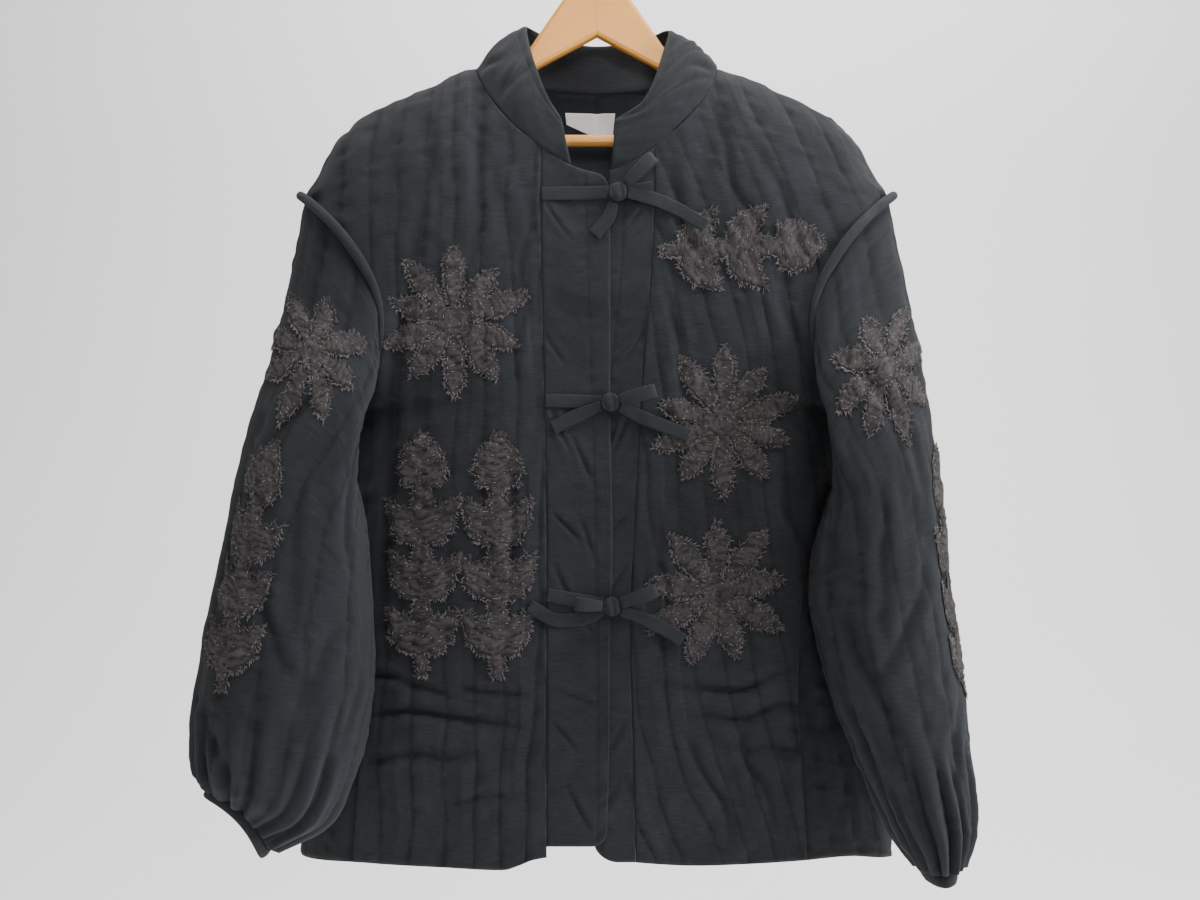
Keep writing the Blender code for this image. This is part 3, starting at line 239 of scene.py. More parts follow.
# The ridge along the top of the shoulders, from the neck out to the armhole.
SHOULDER = table(
    "x z",
    (103, -149),
    (150, -169),
    (200, -193),
    (218, -209),
    (233, -233),
    (248, -260),
)

# Level sections of the body. The side seams lie forward of the folds at the sides, by these angles.
BODY = table(
    "z half_width fold_y front_y back_y right_seam left_seam",
    (-830, 258, 22, -50, 48, 53, 43),
    (-720, 247, 21, -52, 48, 53, 43),
    (-640, 237, 20, -52, 48, 54, 45),
    (-560, 225, 16, -51, 47, 60, 54),
    (-500, 216, 10, -50, 46, 72, 68),
    (-440, 205, 2, -49, 45, 90, 90),
    (-350, 182, 0, -48, 44, 90, 90),
    (-149, 103, 0, -47, 44, 90, 90),
)

# Round the left armhole, from the shoulder's tip by the front (90), the underarm (180) and the back
# (270): the way the seam faces, the piping's radius there, and how far its middle stands off the seam.
SEAM = table(
    "turn x y z cord stand",
    (0, 0.95, 0.00, 0.30, 3.6, 6.4),
    (30, 0.60, -0.78, 0.15, 4.2, 5.4),
    (50, 0.20, -0.97, 0.10, 4.2, 5.4),
    (69, -0.05, -0.99, 0.05, 4.2, 5.6),
    (90, -0.60, -0.80, 0.00, 3.2, 5.8),
    (113, -0.75, -0.60, -0.22, 2.4, 5.4),
    (136, -0.49, -0.63, -0.61, 1.6, 5.2),
    (156, -0.15, -0.45, -0.88, 1.3, 5.4),
    (180, 0.40, 0.00, -0.92, 1.1, 6.2),
    (204, 0.30, 0.60, -0.74, 1.4, 4.8),
    (224, 0.33, 0.86, -0.40, 2.2, 4.8),
    (247, 0.25, 0.95, -0.12, 3.6, 5.2),
    (270, 0.20, 0.97, 0.00, 4.2, 5.6),
    (310, 0.40, 0.90, 0.20, 4.0, 6.0),
    (330, 0.72, 0.60, 0.35, 3.4, 7.2),
    (360, 0.95, 0.00, 0.30, 3.6, 6.4),
)

# The front bands: where each is sewn to its front, and where its free edge hangs.
BANDS = table(
    "z right_seam right_edge left_seam left_edge",
    (-820, -41, 7, 32, -2),
    (-728, -41, 10, 30, -5),
    (-614, -41, 11, 27, -9),
    (-560, -41, 13, 30, -7),
    (-434, -43, 11, 36, -2),
    (-270, -46, 11, 47, 9),
    (-220, -46, 11, 47, 11),
)

# The lower edge of the jacket, from side to side across the front.
HEM = table(
    "x z",
    (-258, -826),
    (-190, -819),
    (-130, -818),
    (-80, -819),
    (-41, -808),
    (0, -808),
    (30, -813),
    (80, -816),
    (140, -815),
    (200, -815),
    (258, -827),
)
BACK_HEM = -820.0

# Each band's width, the height of its lower edge, and the radius of its rounded lower corner. The
# right one's upper corner is rounded as well, by so many times that radius.
BAND_SHAPE = {-1: (50.0, -799.0, 12.0), 1: (34.0, -813.0, 20.0)}
BAND_TOP_CORNER = 1.6
BAND_CORNER_END = 0.97

BODY_ROWS = (
    -151, -162, -176, -194, -212, -226, -243, -260, -272, -292, -318, -350,
    -385, -415, -432, -440, -470, -515, -565, -620, -680, -740, -785,
)
FRONT_COLUMNS = 14
BACK_COLUMNS = 40
BACK_TOP_HALF, BACK_TOP_ROW = 140.0, -170
FOLD_REACH, FOLD_CROWD = 25.0, 2.0
BAND_ROWS = 18
BAND_COLUMNS = 4

# The collar's upper edge above each place round the neckline: 0 is the centre front, and the
# turn goes by the wearer's right shoulder (90), the back (180) and the left shoulder (270).
COLLAR = table(
    "turn top_x top_y top_z",
    (17.7, -29, -47, -203),
    (35, -39, -45, -187),
    (50, -47, -39, -168),
    (68, -56, -22, -138),
    (90, -61, -4, -114),
    (115, -56, 20, -110),
    (145, -34, 38, -115),
    (180, 0, 44, -118),
    (215, 34, 38, -116),
    (245, 56, 20, -112),
    (270, 62, -4, -118),
    (292, 56, -22, -140),
    (310, 47, -39, -170),
    (325, 38, -45, -188),
    (348.8, 15, -47, -204),
)
COLLAR_COLUMNS = 32
COLLAR_ROWS = 3
COLLAR_BULGE = 4.0
COLLAR_WALL = 3.0

# Sections of the sleeves below the armhole, from the outer end of each to the inner one.
SLEEVE_COLUMNS = "outer_x outer_z inner_x inner_z mid_y depth front_bow back_bow lift"
RIGHT_SLEEVE = table(
    SLEEVE_COLUMNS,
    (259, -338, 218, -455, -22, 42, 59, -10, 0),
    (265, -395, 202, -494, -47, 46, 40, 0, 0),
    (285, -475, 186, -545, -57, 46, 8, 0, 0),
    (301, -557, 182, -602, -60, 47, 0, 0, 0),
    (318, -637, 180, -655, -59, 49, 0, 0, 0),
    (325, -695, 188, -705, -59, 48, 0, 0, 0),
    (324, -722, 204, -752, -59, 43, 2, 2, 2),
    (321, -736, 232, -792, -59, 35, 6, 8, 6),
    (317, -744, 256, -806, -59, 26, 9, 12, 8),
    (312, -747, 264, -799, -59, 21, 9, 13, 8),
)
LEFT_SLEEVE = table(
    SLEEVE_COLUMNS,
    (257, -335, 217, -455, -23, 42, 58, -9, 0),
    (263, -392, 200, -494, -48, 46, 40, 0, 0),
    (273, -480, 180, -540, -59, 46, 8, 0, 0),
    (281, -573, 172, -590, -61, 47, 0, 0, 0),
    (291, -638, 181, -642, -59, 49, 0, 0, 0),
    (300, -715, 208, -716, -59, 47, 0, 0, 0),
    (303, -750, 225, -750, -59, 44, 0, 0, 0),
    (300, -775, 243, -785, -59, 41, 0, 0, 0),
    (293, -797, 256, -804, -59, 37, 0, 0, 0),
    (288, -808, 264, -812, -59, 33, 0, 0, 0),
)
SLEEVE_ROWS = 15
GATHER_START = 0.72
CUFF_WIDTH = 9.0
CUFF_WALL = 3.0
CUFF_ROWS = 2
CUFF_AXIS = {-1: (-0.72, 0.0, -0.69), 1: (0.05, 0.0, -1.0)}

# The ties: the knot, then the free ends and loops that leave it, as flat strips on the fronts.
TIE_WIDTH = 11.0
TIE_WALL = 1.6
KNOT_WIDTH, KNOT_HEIGHT, KNOT_DEPTH, KNOT_LIFT = 15.0, 16.0, 10.0, 6.1
TIE_LAYER = 2.4
KNOT_RINGS = 4
TIE_STEPS = 5

FIT = 0.35

# Each bow: the knot's place, the heights of its two straps at their seams, the tips of its loops,
# and the places its free ends go by, each with its height off the cloth.
BOWS = (
    {
        "knot": (17, -264.5), "straps": (-265.5, -260.0),
        "loops": ((46, -238),),
        "ends": (((40, -268, 6.0), (62, -276, 4.6), (89, -292, 4.6)), ((10, -284, 4.0), (-2, -299, 1.7))),
    },
    {
        "knot": (11, -436), "straps": (-434.5, -438.5),
        "loops": ((47, -427),),
        "ends": (((-16, -447, 3.2), (-36, -457, 1.8)), ((36, -448, 4.0), (56, -456, 4.6), (75, -463, 4.6))),
    },
    {
        "knot": (12, -602), "straps": (-593.0, -600.5),
        "loops": ((-17, -599), (48, -588)),
        "ends": (((-8, -611, 3.6), (-30, -614, 1.8), (-55, -602, 2.3)), ((44, -615, 4.4), (70, -630, 4.6))),
    },
)
LOOP = (
    (0.0, 0.0), (0.35, 0.0), (0.7, 0.04), (0.92, 0.18), (1.0, 0.5),
    (0.92, 0.84), (0.7, 0.95), (0.35, 0.75), (0.0, 0.32),
)


print("hem half width", BODY["half_width"][0], "mm")


# %% [markdown]
# Two tools shape everything. The first draws a smooth curve through a table without overshooting
# it, for single numbers and for whole rows of points alike. The second is a soft random field: a
# lattice of seeded random numbers with a smooth blend between them, the same on every run.

# %% Curves and soft noise
def smooth(places, values, at):
    x, y = np.asarray(places, float), np.asarray(values, float)
    if x[0] > x[-1]:
        x, y = x[::-1], y[::-1]
    wide = (-1,) + (1,) * (y.ndim - 1)
    slope = np.diff(y, axis=0) / np.diff(x).reshape(wide)
    product, total = slope[:-1] * slope[1:], slope[:-1] + slope[1:]
    tangent = np.zeros_like(y)
    tangent[1:-1] = np.where(product > 0, 2 * product / np.where(total == 0, 1, total), 0)
    tangent[0], tangent[-1] = slope[0], slope[-1]
    at = np.clip(at, x[0], x[-1])
    i = np.clip(np.searchsorted(x, at) - 1, 0, len(x) - 2)
    gap = x[i + 1] - x[i]
    t = (at - x[i]) / gap
    if y.ndim > 1:
        gap, t = gap.reshape(wide), t.reshape(wide)
    return (
        (2 * t**3 - 3 * t**2 + 1) * y[i]
        + (t**3 - 2 * t**2 + t) * gap * tangent[i]
        + (3 * t**2 - 2 * t**3) * y[i + 1]
        + (t**3 - t**2) * gap * tangent[i + 1]
    )


LATTICE = 97


def noise(u, v, size_u, size_v, seed):
    """A soft random field from -1 to 1, whose bumps are about that many millimetres in size."""
    values = np.random.default_rng(seed).random((LATTICE, LATTICE)) * 2 - 1
    a, b = np.asarray(u) / size_u + 40.5, np.asarray(v) / size_v + 40.5
    i, j = np.floor(a).astype(int), np.floor(b).astype(int)
    s, t = a - i, b - j
    s, t = s * s * (3 - 2 * s), t * t * (3 - 2 * t)

    def at(di, dj):
        return values[(i + di) % LATTICE, (j + dj) % LATTICE]

    low, high = at(0, 0) * (1 - s) + at(1, 0) * s, at(0, 1) * (1 - s) + at(1, 1) * s
    return low * (1 - t) + high * t


# %% [markdown]
# These rules turn the tables into a surface. The body is a depth over width and height, which
# rounds over the shoulders and closes into folds at the sides. Every edge that two pieces share is
# worked out once, so both meet there.

# %% Rules of the body's surface
def unit(vector):
    vector = np.asarray(vector, float)
    return vector / (np.linalg.norm(vector, axis=-1, keepdims=True) + 1e-12)


def mix(a, b, share):
    return a + (b - a) * share


def body(column, z):
    return float(smooth(BODY["z"], BODY[column], z))


def ridge_z(x):
    """Height of the shoulder's ridge over x. Inside the neck it goes on rising, where no cloth is."""
    x = abs(x)
    if x < NECK_HALF:
        return NECK_TOP + NECK_RISE * (NECK_HALF - x)
    return float(smooth(SHOULDER["x"], SHOULDER["z"], x))


def armhole_turn(z):
    """Angle round the armhole at height z: 0 at the shoulder's tip, 180 at the underarm."""
    middle, half = (TIP_Z + UNDERARM_Z) / 2, (TIP_Z - UNDERARM_Z) / 2
    return math.acos(max(-1.0, min(1.0, (z - middle) / half)))


def armhole_x(turn):
    middle, half = (TIP_X + UNDERARM_X) / 2, (TIP_X - UNDERARM_X) / 2
    return middle + half * math.cos(turn) - ARMHOLE_BOW * math.sin(turn) ** 2


def edge_x(z):
    """Half the width of the cloth at height z: the shoulder's ridge, the armhole, or the side fold."""
    if z >= TIP_Z:
        return float(smooth(SHOULDER["z"], SHOULDER["x"], z))
    if z >= UNDERARM_Z:
        return armhole_x(armhole_turn(z))
    return body("half_width", z)


def body_y(x, z, side):
    """Depth of the body's surface: side -1 is the front, and 1 the back."""
    fold = body("fold_y", z)
    full = abs(body("front_y" if side < 0 else "back_y", z) - fold)
    if z <= UNDERARM_Z:
        open_share = 0.0
    elif z >= (TIP_Z + UNDERARM_Z) / 2:
        open_share = 1.0
    else:
        open_share = math.sin(armhole_turn(z))
    reach = min(abs(x) / edge_x(z), 1.0)
    flat = (full - FOLD_NOSE) * (1 - (1 - open_share) * reach**SIDE_POWER) ** SIDE_SOFTNESS
    nose = FOLD_NOSE * math.sqrt(max(0.0, 1 - (1 - open_share**2) * reach**2))
    near, far = min(abs(x), TIP_X - 8) - 4, min(abs(x), TIP_X - 8) + 4
    steep = math.hypot(1.0, (ridge_z(near) - ridge_z(far)) / 8)
    low = 1 - min(max((ridge_z(x) - z) / steep / SHOULDER_ROUND, 0.0), 1.0)
    return fold + side * (flat + nose) * math.sqrt(max(0.0, 1 - low * low))


def underlap(x):
    """How far the left front lies behind the right one, near the centre."""
    return UNDERLAP_SET * (1 - float(smooth((60, 130), (0, 1), x)))


def set_back(x, side, layer):
    return underlap(x) if layer and side < 0 else 0.0


def flat_frame(x, z, side, layer=0):
    """A point of the front or back as a surface over x and z, with its outward direction."""
    step = 1.5
    limit = edge_x(z)
    x0, x1 = max(x - step, -limit), min(x + step, limit)
    along_x = (body_y(x1, z, side) - body_y(x0, z, side)) / (x1 - x0)
    along_z = (body_y(x, z + step, side) - body_y(x, z - step, side)) / (2 * step)
    point = np.array((x, body_y(x, z, side) + set_back(x, side, layer), z))
    return point, unit((-side * along_x, side, -side * along_z))


def ring_frame(turn, z, layer=0):
    """A point of the closed body below the underarm. Turn 0 is the centre front, 90 the left fold."""

    def at(angle, height):
        side = -1 if math.cos(angle) > 0 else 1
        x = body("half_width", height) * math.sin(angle)
        return np.array((x, body_y(x, height, side) + set_back(x, side, layer), height))

    step = 0.01
    across = at(turn + step, z) - at(turn - step, z)
    up = at(turn, z + 2) - at(turn, z - 2)
    return at(turn, z), unit(np.cross(across, up))


def ridge_frame(x):
    """A point of the shoulder's ridge, with the direction that points up and out of the cloth."""
    sign, near, far = math.copysign(1, x), abs(x) - 2, abs(x) + 2
    slope = (ridge_z(min(far, TIP_X)) - ridge_z(max(near, NECK_HALF))) / (
        min(far, TIP_X) - max(near, NECK_HALF)
    )
    return np.array((x, 0.0, ridge_z(x))), unit((-slope * sign, 0.0, 1.0))


def armhole_frame(turn, sign, side):
    """A point of the armhole's edge. Both the body and the sleeve get their wall's direction here."""
    z = mix(UNDERARM_Z, TIP_Z, (1 + math.cos(turn)) / 2)
    x = armhole_x(turn)
    y = body_y(x, z, side)
    full = math.degrees(turn if side < 0 else 2 * math.pi - turn)
    outward = [float(smooth(SEAM["turn"], SEAM[axis], full)) for axis in "xyz"]
    outward[0] *= sign
    return np.array((sign * x, y, z)), unit(outward)


def panel_frame(x, z, side, layer=0):
    """The frame for a body panel's point, whichever part of the body it lies on."""
    if z == UNDERARM_Z and abs(x) >= edge_x(z) - 0.01:
        return armhole_frame(math.pi, math.copysign(1, x), side)
    if z <= UNDERARM_Z:
        turn = math.asin(max(-1.0, min(1.0, x / body("half_width", z))))
        return ring_frame(turn if side < 0 else math.pi - turn, z, layer)
    if abs(x) >= edge_x(z) - 0.01:
        if z > TIP_Z:
            return ridge_frame(x)
        return armhole_frame(armhole_turn(z), math.copysign(1, x), side)
    return flat_frame(x, z, side, layer)


def neckline_x(z):
    share = min(max((NECK_TOP - z) / FRONT_DROP, 0.0), 1.0)
    return NECK_HALF * (1 - share**NECK_POWER) ** (1 / NECK_POWER)


def flat_or_ring(x, z, layer):
    if layer:
        point, normal = panel_frame(x, z, -1)
        point[1] += UNDERLAP_SET
        return point, normal
    return panel_frame(x, z, -1)


def back_row(z):
    """Where the back's points lie at height z, from the left side round to the right one.

    They stand closer together at the folds at the sides.
    """
    if z < UNDERARM_Z:
        start = math.radians(body("left_seam", z))
        stop = 2 * math.pi - math.radians(body("right_seam", z))
        turns = np.linspace(start, stop, 600)
        half = body("half_width", z)
        dense = []
        for turn in turns:
            side = -1 if math.cos(turn) > 0 else 1
            x = half * math.sin(turn)
            dense.append((x, body_y(x, z, side)))
    else:
        turns = np.linspace(edge_x(z), -edge_x(z), 600)
        dense = [(x, body_y(x, z, 1)) for x in turns]
    dense = np.array(dense)
    steps = np.linalg.norm(np.diff(dense, axis=0), axis=1)
    length = np.concatenate([[0], np.cumsum(steps)])
    middle = (length[1:] + length[:-1]) / 2
    folds = length[np.argmax(dense[:, 0])], length[np.argmin(dense[:, 0])]
    nearness = sum(np.exp(-(((middle - fold) / FOLD_REACH) ** 2)) for fold in folds)
    weight = np.concatenate([[0], np.cumsum(steps * (1 + FOLD_CROWD * nearness))])
    return np.interp(np.linspace(0, weight[-1], BACK_COLUMNS + 1), weight, turns)


def armhole_turns():
    """The body's rows as turns round the armhole: the tip, the front, the underarm and the back."""
    half = [armhole_turn(z) for z in BODY_ROWS if TIP_Z >= z >= UNDERARM_Z]
    return np.array(half + [2 * math.pi - turn for turn in half[-2:0:-1]])


def armhole_ring(sign, turns):
    """The armhole's edge as points."""
    frames = []
    for turn in turns:
        side = -1 if turn < math.pi - 1e-6 else 1
        frames.append(armhole_frame(turn if side < 0 else 2 * math.pi - turn, sign, side))
    return np.array([p for p, n in frames]), np.array([n for p, n in frames])


def section_ring(sections, i, sign, turn):
    """One of a sleeve's sections as points, in the same order as the armhole's."""
    get = {name: column[i] for name, column in sections.items()}
    bow = np.where(np.sin(turn) >= 0, get["front_bow"], get["back_bow"]) * np.sin(turn) ** 2
    x = (get["outer_x"] + get["inner_x"]) / 2 + (get["outer_x"] - get["inner_x"]) / 2 * np.cos(turn)
    z = (get["outer_z"] + get["inner_z"]) / 2 + (get["outer_z"] - get["inner_z"]) / 2 * np.cos(turn)
    y = get["mid_y"] - get["depth"] * np.sin(turn)
    lift = get["lift"] * np.sin(turn) ** 2
    return np.stack([sign * (x - bow), y, z + lift], axis=1)


def grid_normals(grid, sign):
    """Outward directions of a closed tube's grid, from its neighbours both ways."""
    around = np.roll(grid, -1, axis=1) - np.roll(grid, 1, axis=1)
    along = np.gradient(grid, axis=0)
    return -unit(np.cross(along, around)) * sign


def cuff_normals(ring, sign):
    """Outward directions of the short tube that runs on from a sleeve's end."""
    around = np.roll(ring, -1, axis=0) - np.roll(ring, 1, axis=0)
    return -unit(np.cross(CUFF_AXIS[sign], around)) * sign


def neck_point(turn_degrees):
    """A point of the neckline's seam, and whether it lies on the front or the back."""
    turn = math.radians(turn_degrees)
    side = -1 if math.cos(turn) > 1e-6 else 1
    power = 2 / NECK_POWER
    if side < 0:
        x = -NECK_HALF * math.copysign(abs(math.sin(turn)) ** power, math.sin(turn))
        z = NECK_TOP - FRONT_DROP * abs(math.cos(turn)) ** power
    else:
        x = -NECK_HALF * math.sin(turn)
        z = NECK_TOP - BACK_DROP * abs(math.cos(turn))
    y = body_y(x, z, side) + set_back(x, side, turn_degrees > 270)
    return np.array((x, y, z))




# %% [markdown]
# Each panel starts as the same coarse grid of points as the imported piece. Smooth curves through
# those points, first down and then across, give a grid ten times finer. The grid also keeps how
# far each point is across and down the cloth, in millimetres, for quilting, weave and stitches.

# %% Panels as fine grids
def refine(grid, places, rows, columns, closed):
    down = smooth(places, grid, np.linspace(places[0], places[-1], rows))
    across = np.moveaxis(down, 1, 0)
    count = len(across)
    if closed:
        across = np.concatenate([across[-3:], across, across[:4]])
        at = 3 + np.arange(columns) * count / columns
    else:
        at = np.linspace(0, count - 1, columns)
    return np.moveaxis(smooth(np.arange(len(across)), across, at), 0, 1)


def make_panel(base, outward, places, rows, columns, closed=False, across=None, around=0.0):
    panel = {"closed": closed, "around": around}
    panel["base"] = refine(np.asarray(base), places, rows, columns, closed)
    panel["outward"] = unit(refine(np.asarray(outward), places, rows, columns, closed))
    panel["v"] = np.linspace(places[0], places[-1], rows)
    if closed:
        across = np.repeat(np.arange(columns)[None] * around / columns, rows, axis=0)
    elif across is None:
        steps = np.linalg.norm(np.diff(panel["base"], axis=1), axis=2)
        across = np.concatenate([np.zeros((rows, 1)), np.cumsum(steps, axis=1)], axis=1)
    else:
        across = across(panel["base"])
    panel["u"] = across
    return panel


def raise_cloth(panel, relief):
    panel["relief"] = relief
    panel["outer"] = panel["base"] + panel["outward"] * relief[..., None]
    return panel


def spots(panel, u, v):
    """Rows and columns, with fractions, of places so far across and down a panel."""
    u, v = np.atleast_1d(u), np.atleast_1d(v)
    rows, columns = panel["u"].shape
    r = np.interp(v, panel["v"], np.arange(rows))
    if panel["closed"]:
        return r, u / panel["around"] * columns
    c = np.empty_like(r)
    for k in range(len(r)):
        low = min(int(r[k]), rows - 2)
        line = mix(panel["u"][low], panel["u"][low + 1], r[k] - low)
        c[k] = np.interp(u[k], line, np.arange(columns))
    return r, c


def sample(panel, field, r, c):
    grid = panel[field]
    rows, columns = grid.shape[:2]
    r0 = np.clip(np.floor(r).astype(int), 0, rows - 2)
    t = (r - r0)[:, None]
    if panel["closed"]:
        c0 = np.floor(c).astype(int)
        s = (c - c0)[:, None]
        c0, c1 = c0 % columns, (c0 + 1) % columns
    else:
        c0 = np.clip(np.floor(c).astype(int), 0, columns - 2)
        s, c1 = (c - c0)[:, None], c0 + 1
    top = grid[r0, c0] * (1 - s) + grid[r0, c1] * s
    low = grid[r0 + 1, c0] * (1 - s) + grid[r0 + 1, c1] * s
    return top * (1 - t) + low * t


# %% [markdown]
# Quilting is a set of rules too. Stitched lines run down the cloth at a named spacing and wander a
# little, as hand-guided ones do. Between two lines the padding puffs up, along a line the thread
# pulls a groove, and the washed cloth puckers across it. Big creases are listed in a table, each a
# soft trough with a low ridge at its side.

# %% Quilting and creases
CREASE_DEPTH = 1.5


def quilting(spacing, lean, wander, seed):
    def count(u, v):
        drift = wander * noise(u, v, 75, 170, seed) + 0.35 * wander * noise(u, v, 28, 42, seed + 1)
        return (u + lean(v) + drift) / spacing

    return {"spacing": spacing, "count": count, "seed": seed}


def puffs(panel, rule, rise):
    u, v = panel["u"], panel["v"][:, None] + 0 * panel["u"]
    phase = rule["count"](u, v)
    gap = np.abs(phase - np.round(phase)) * rule["spacing"]
    dome = 0.62 * (1 - np.exp(-gap / 2.2)) + 0.38 * np.sin(np.pi * np.clip(gap / rule["spacing"], 0, 0.5))
    line = np.round(phase) * 37.7
    strength = 0.75 + 0.9 * noise(line, v, 1, 80, rule["seed"] + 5)
    # A mask along each stitched line, which the material paints darker: painted shade in the groove.
    panel["seam"] = np.exp(-((gap / 1.25) ** 2))
    pucker = np.exp(-((gap / 8) ** 2)) * noise(u + 0.5 * v, v - 0.3 * u, 15, 6, rule["seed"] + 2)
    soft = noise(u + 0.35 * v, v, 14, 46, rule["seed"] + 3) + 0.7 * noise(u - 0.4 * v, v, 12, 30, rule["seed"] + 4)
    soft += 0.8 * noise(u, v, 9, 9, rule["seed"] + 6) * (0.5 + 0.5 * noise(u, v, 60, 60, rule["seed"] + 7))
    return rise * strength * dome - 0.35 * np.exp(-((gap / 1.8) ** 2)) + 1.15 * pucker + 0.85 * soft


def creases(panel, rows, seed, wobble=3.0):
    u, v = panel["u"], panel["v"][:, None] + 0 * panel["u"]
    wu, wv = u + wobble * noise(u, v, 34, 34, seed), v + wobble * noise(u, v, 34, 34, seed + 1)
    total = np.zeros_like(u)
    for u0, v0, u1, v1, depth, width in rows:
        depth *= CREASE_DEPTH
        du, dv = u1 - u0, v1 - v0
        length = math.hypot(du, dv)
        here = wu - u0
        if panel["closed"]:
            here = (here + panel["around"] / 2) % panel["around"] - panel["around"] / 2
        along = (here * du + (wv - v0) * dv) / length**2
        off = (here * dv - (wv - v0) * du) / length
        fade = np.sin(np.pi * np.clip(along, 0, 1)) ** 0.7
        total -= depth * fade * np.exp(-((off / width) ** 2))
        total += 0.55 * depth * fade * np.exp(-(((np.abs(off) - 2.3 * width) / (1.5 * width)) ** 2))
    return total


# %% [markdown]
# A panel is cloth, padding and backing sewn together, so it gets an outside, an inside 2.3 mm
# behind it and a rim that rounds over between them. A Solidify modifier would do it as well, but
# building both sides gives the plain inside half the points. The cloth's own distances become a
# UV map for the weave, and its height an attribute that the material reads.

# %% Walls of cloth
def mesh_object(name, points, faces, material, uv=None, height=None, seam=None):
    mesh = bpy.data.meshes.new(name)
    mesh.from_pydata((np.asarray(points) * MM).tolist(), [], faces)
    co = np.asarray(points)
    mesh.calc_loop_triangles()
    tri = np.empty(len(mesh.loop_triangles) * 3, int)
    mesh.loop_triangles.foreach_get("vertices", tri)
    tri = tri.reshape(-1, 3)
    if np.einsum("ij,ij->i", co[tri[:, 0]], np.cross(co[tri[:, 1]], co[tri[:, 2]])).sum() < 0:
        mesh.flip_normals()
    if uv is not None:
        corner = np.empty(len(mesh.loops), int)
        mesh.loops.foreach_get("vertex_index", corner)
        mesh.uv_layers.new(name="weave").data.foreach_set("uv", (uv[corner] * MM).ravel())
    # The material reads "height" to paint crests paler and hollows darker (partly wear, partly painted light and
    # shade), and "seam" to paint painted shade along the stitched grooves.
    if height is not None:
        mesh.attributes.new("height", "FLOAT", "POINT").data.foreach_set("value", height)
    if seam is not None:
        mesh.attributes.new("seam", "FLOAT", "POINT").data.foreach_set("value", seam)
    mesh.materials.append(material)
    mesh.shade_smooth()
    return add_object(name, mesh)


def wrap_uv(made, around):
    """Gives the faces that close a tube their own turn of the pattern, so that it doesn't smear."""
    mesh = made.data
    layer = mesh.uv_layers["weave"].data
    uv = np.empty(2 * len(layer))
    layer.foreach_get("uv", uv)
    uv = uv.reshape(-1, 2)
    start = np.array([p.loop_start for p in mesh.polygons])
    total = np.array([p.loop_total for p in mesh.polygons])
    face = np.repeat(np.arange(len(start)), total)
    top = np.maximum.reduceat(uv[:, 0], start)[face]
    uv[:, 0] += np.where(top - uv[:, 0] > around * MM / 2, around * MM, 0)
    layer.foreach_set("uv", uv.ravel())


def cloth_wall(name, panel, wall, material):
    rows, columns = panel["u"].shape
    closed = panel["closed"]
    outer = panel["outer"].copy()
    lift = panel["relief"][..., None]
    inner = panel["base"] - panel["outward"] * (wall - 0.3 * np.clip(lift, -1.5, 1.5))
    edges = [(0, slice(None)), (-1, slice(None))]
    if not closed:
        edges += [(slice(None), 0), (slice(None), -1)]
    for edge in edges:
        outer[edge] = panel["base"][edge] - panel["outward"][edge] * wall * 0.28
        inner[edge] = panel["base"][edge] - panel["outward"][edge] * wall * 0.72
    inner = inner[::2, ::2]
    ir, ic = inner.shape[:2]
    index = np.arange(rows * columns).reshape(rows, columns)
    inside = rows * columns + np.arange(ir * ic).reshape(ir, ic)
    if closed:
        index = np.concatenate([index, index[:, :1]], axis=1)
        inside = np.concatenate([inside, inside[:, :1]], axis=1)
    a, b, c, d = index[:-1, :-1], index[:-1, 1:], index[1:, 1:], index[1:, :-1]
    faces = np.stack([a, b, c, d], axis=-1).reshape(-1, 4).tolist()
    a, b, c, d = inside[:-1, :-1], inside[:-1, 1:], inside[1:, 1:], inside[1:, :-1]
    faces += np.stack([a, d, c, b], axis=-1).reshape(-1, 4).tolist()
    rims = [(index[0], inside[0], True), (index[-1], inside[-1], False)]
    if not closed:
        rims += [(index[:, 0], inside[:, 0], False), (index[:, -1], inside[:, -1], True)]
    for out, ins, forward in rims:
        five = np.stack([out[2::2], out[1::2], out[:-1:2], ins[:-1], ins[1:]], axis=-1)
        faces += (five if forward else five[:, ::-1]).tolist()
    v = np.repeat(panel["v"][:, None], columns, axis=1)
    uv = np.stack([panel["u"], -v], axis=-1)
    uv = np.concatenate([uv.reshape(-1, 2), uv[::2, ::2].reshape(-1, 2)])
    height = np.concatenate([panel["relief"].ravel(), np.full(ir * ic, 0.6)])
    seam = np.concatenate([panel.get("seam", 0 * panel["u"]).ravel(), np.zeros(ir * ic)])
    made = mesh_object(name, np.concatenate([outer.reshape(-1, 3), inner.reshape(-1, 3)]), faces,
                       material, uv, height, seam)
    if closed:
        wrap_uv(made, panel["around"])
    steps = np.cross(panel["base"][1:, :-1] - panel["base"][:-1, :-1],
                     panel["base"][:-1, 1:] - panel["base"][:-1, :-1])
    panel["area"] = np.linalg.norm(steps, axis=2).sum() * 1e-6
    panel["object"] = made
    print(f"{name}: {len(faces)} faces, {panel['area']:.3f} m2 of cloth")
    return made
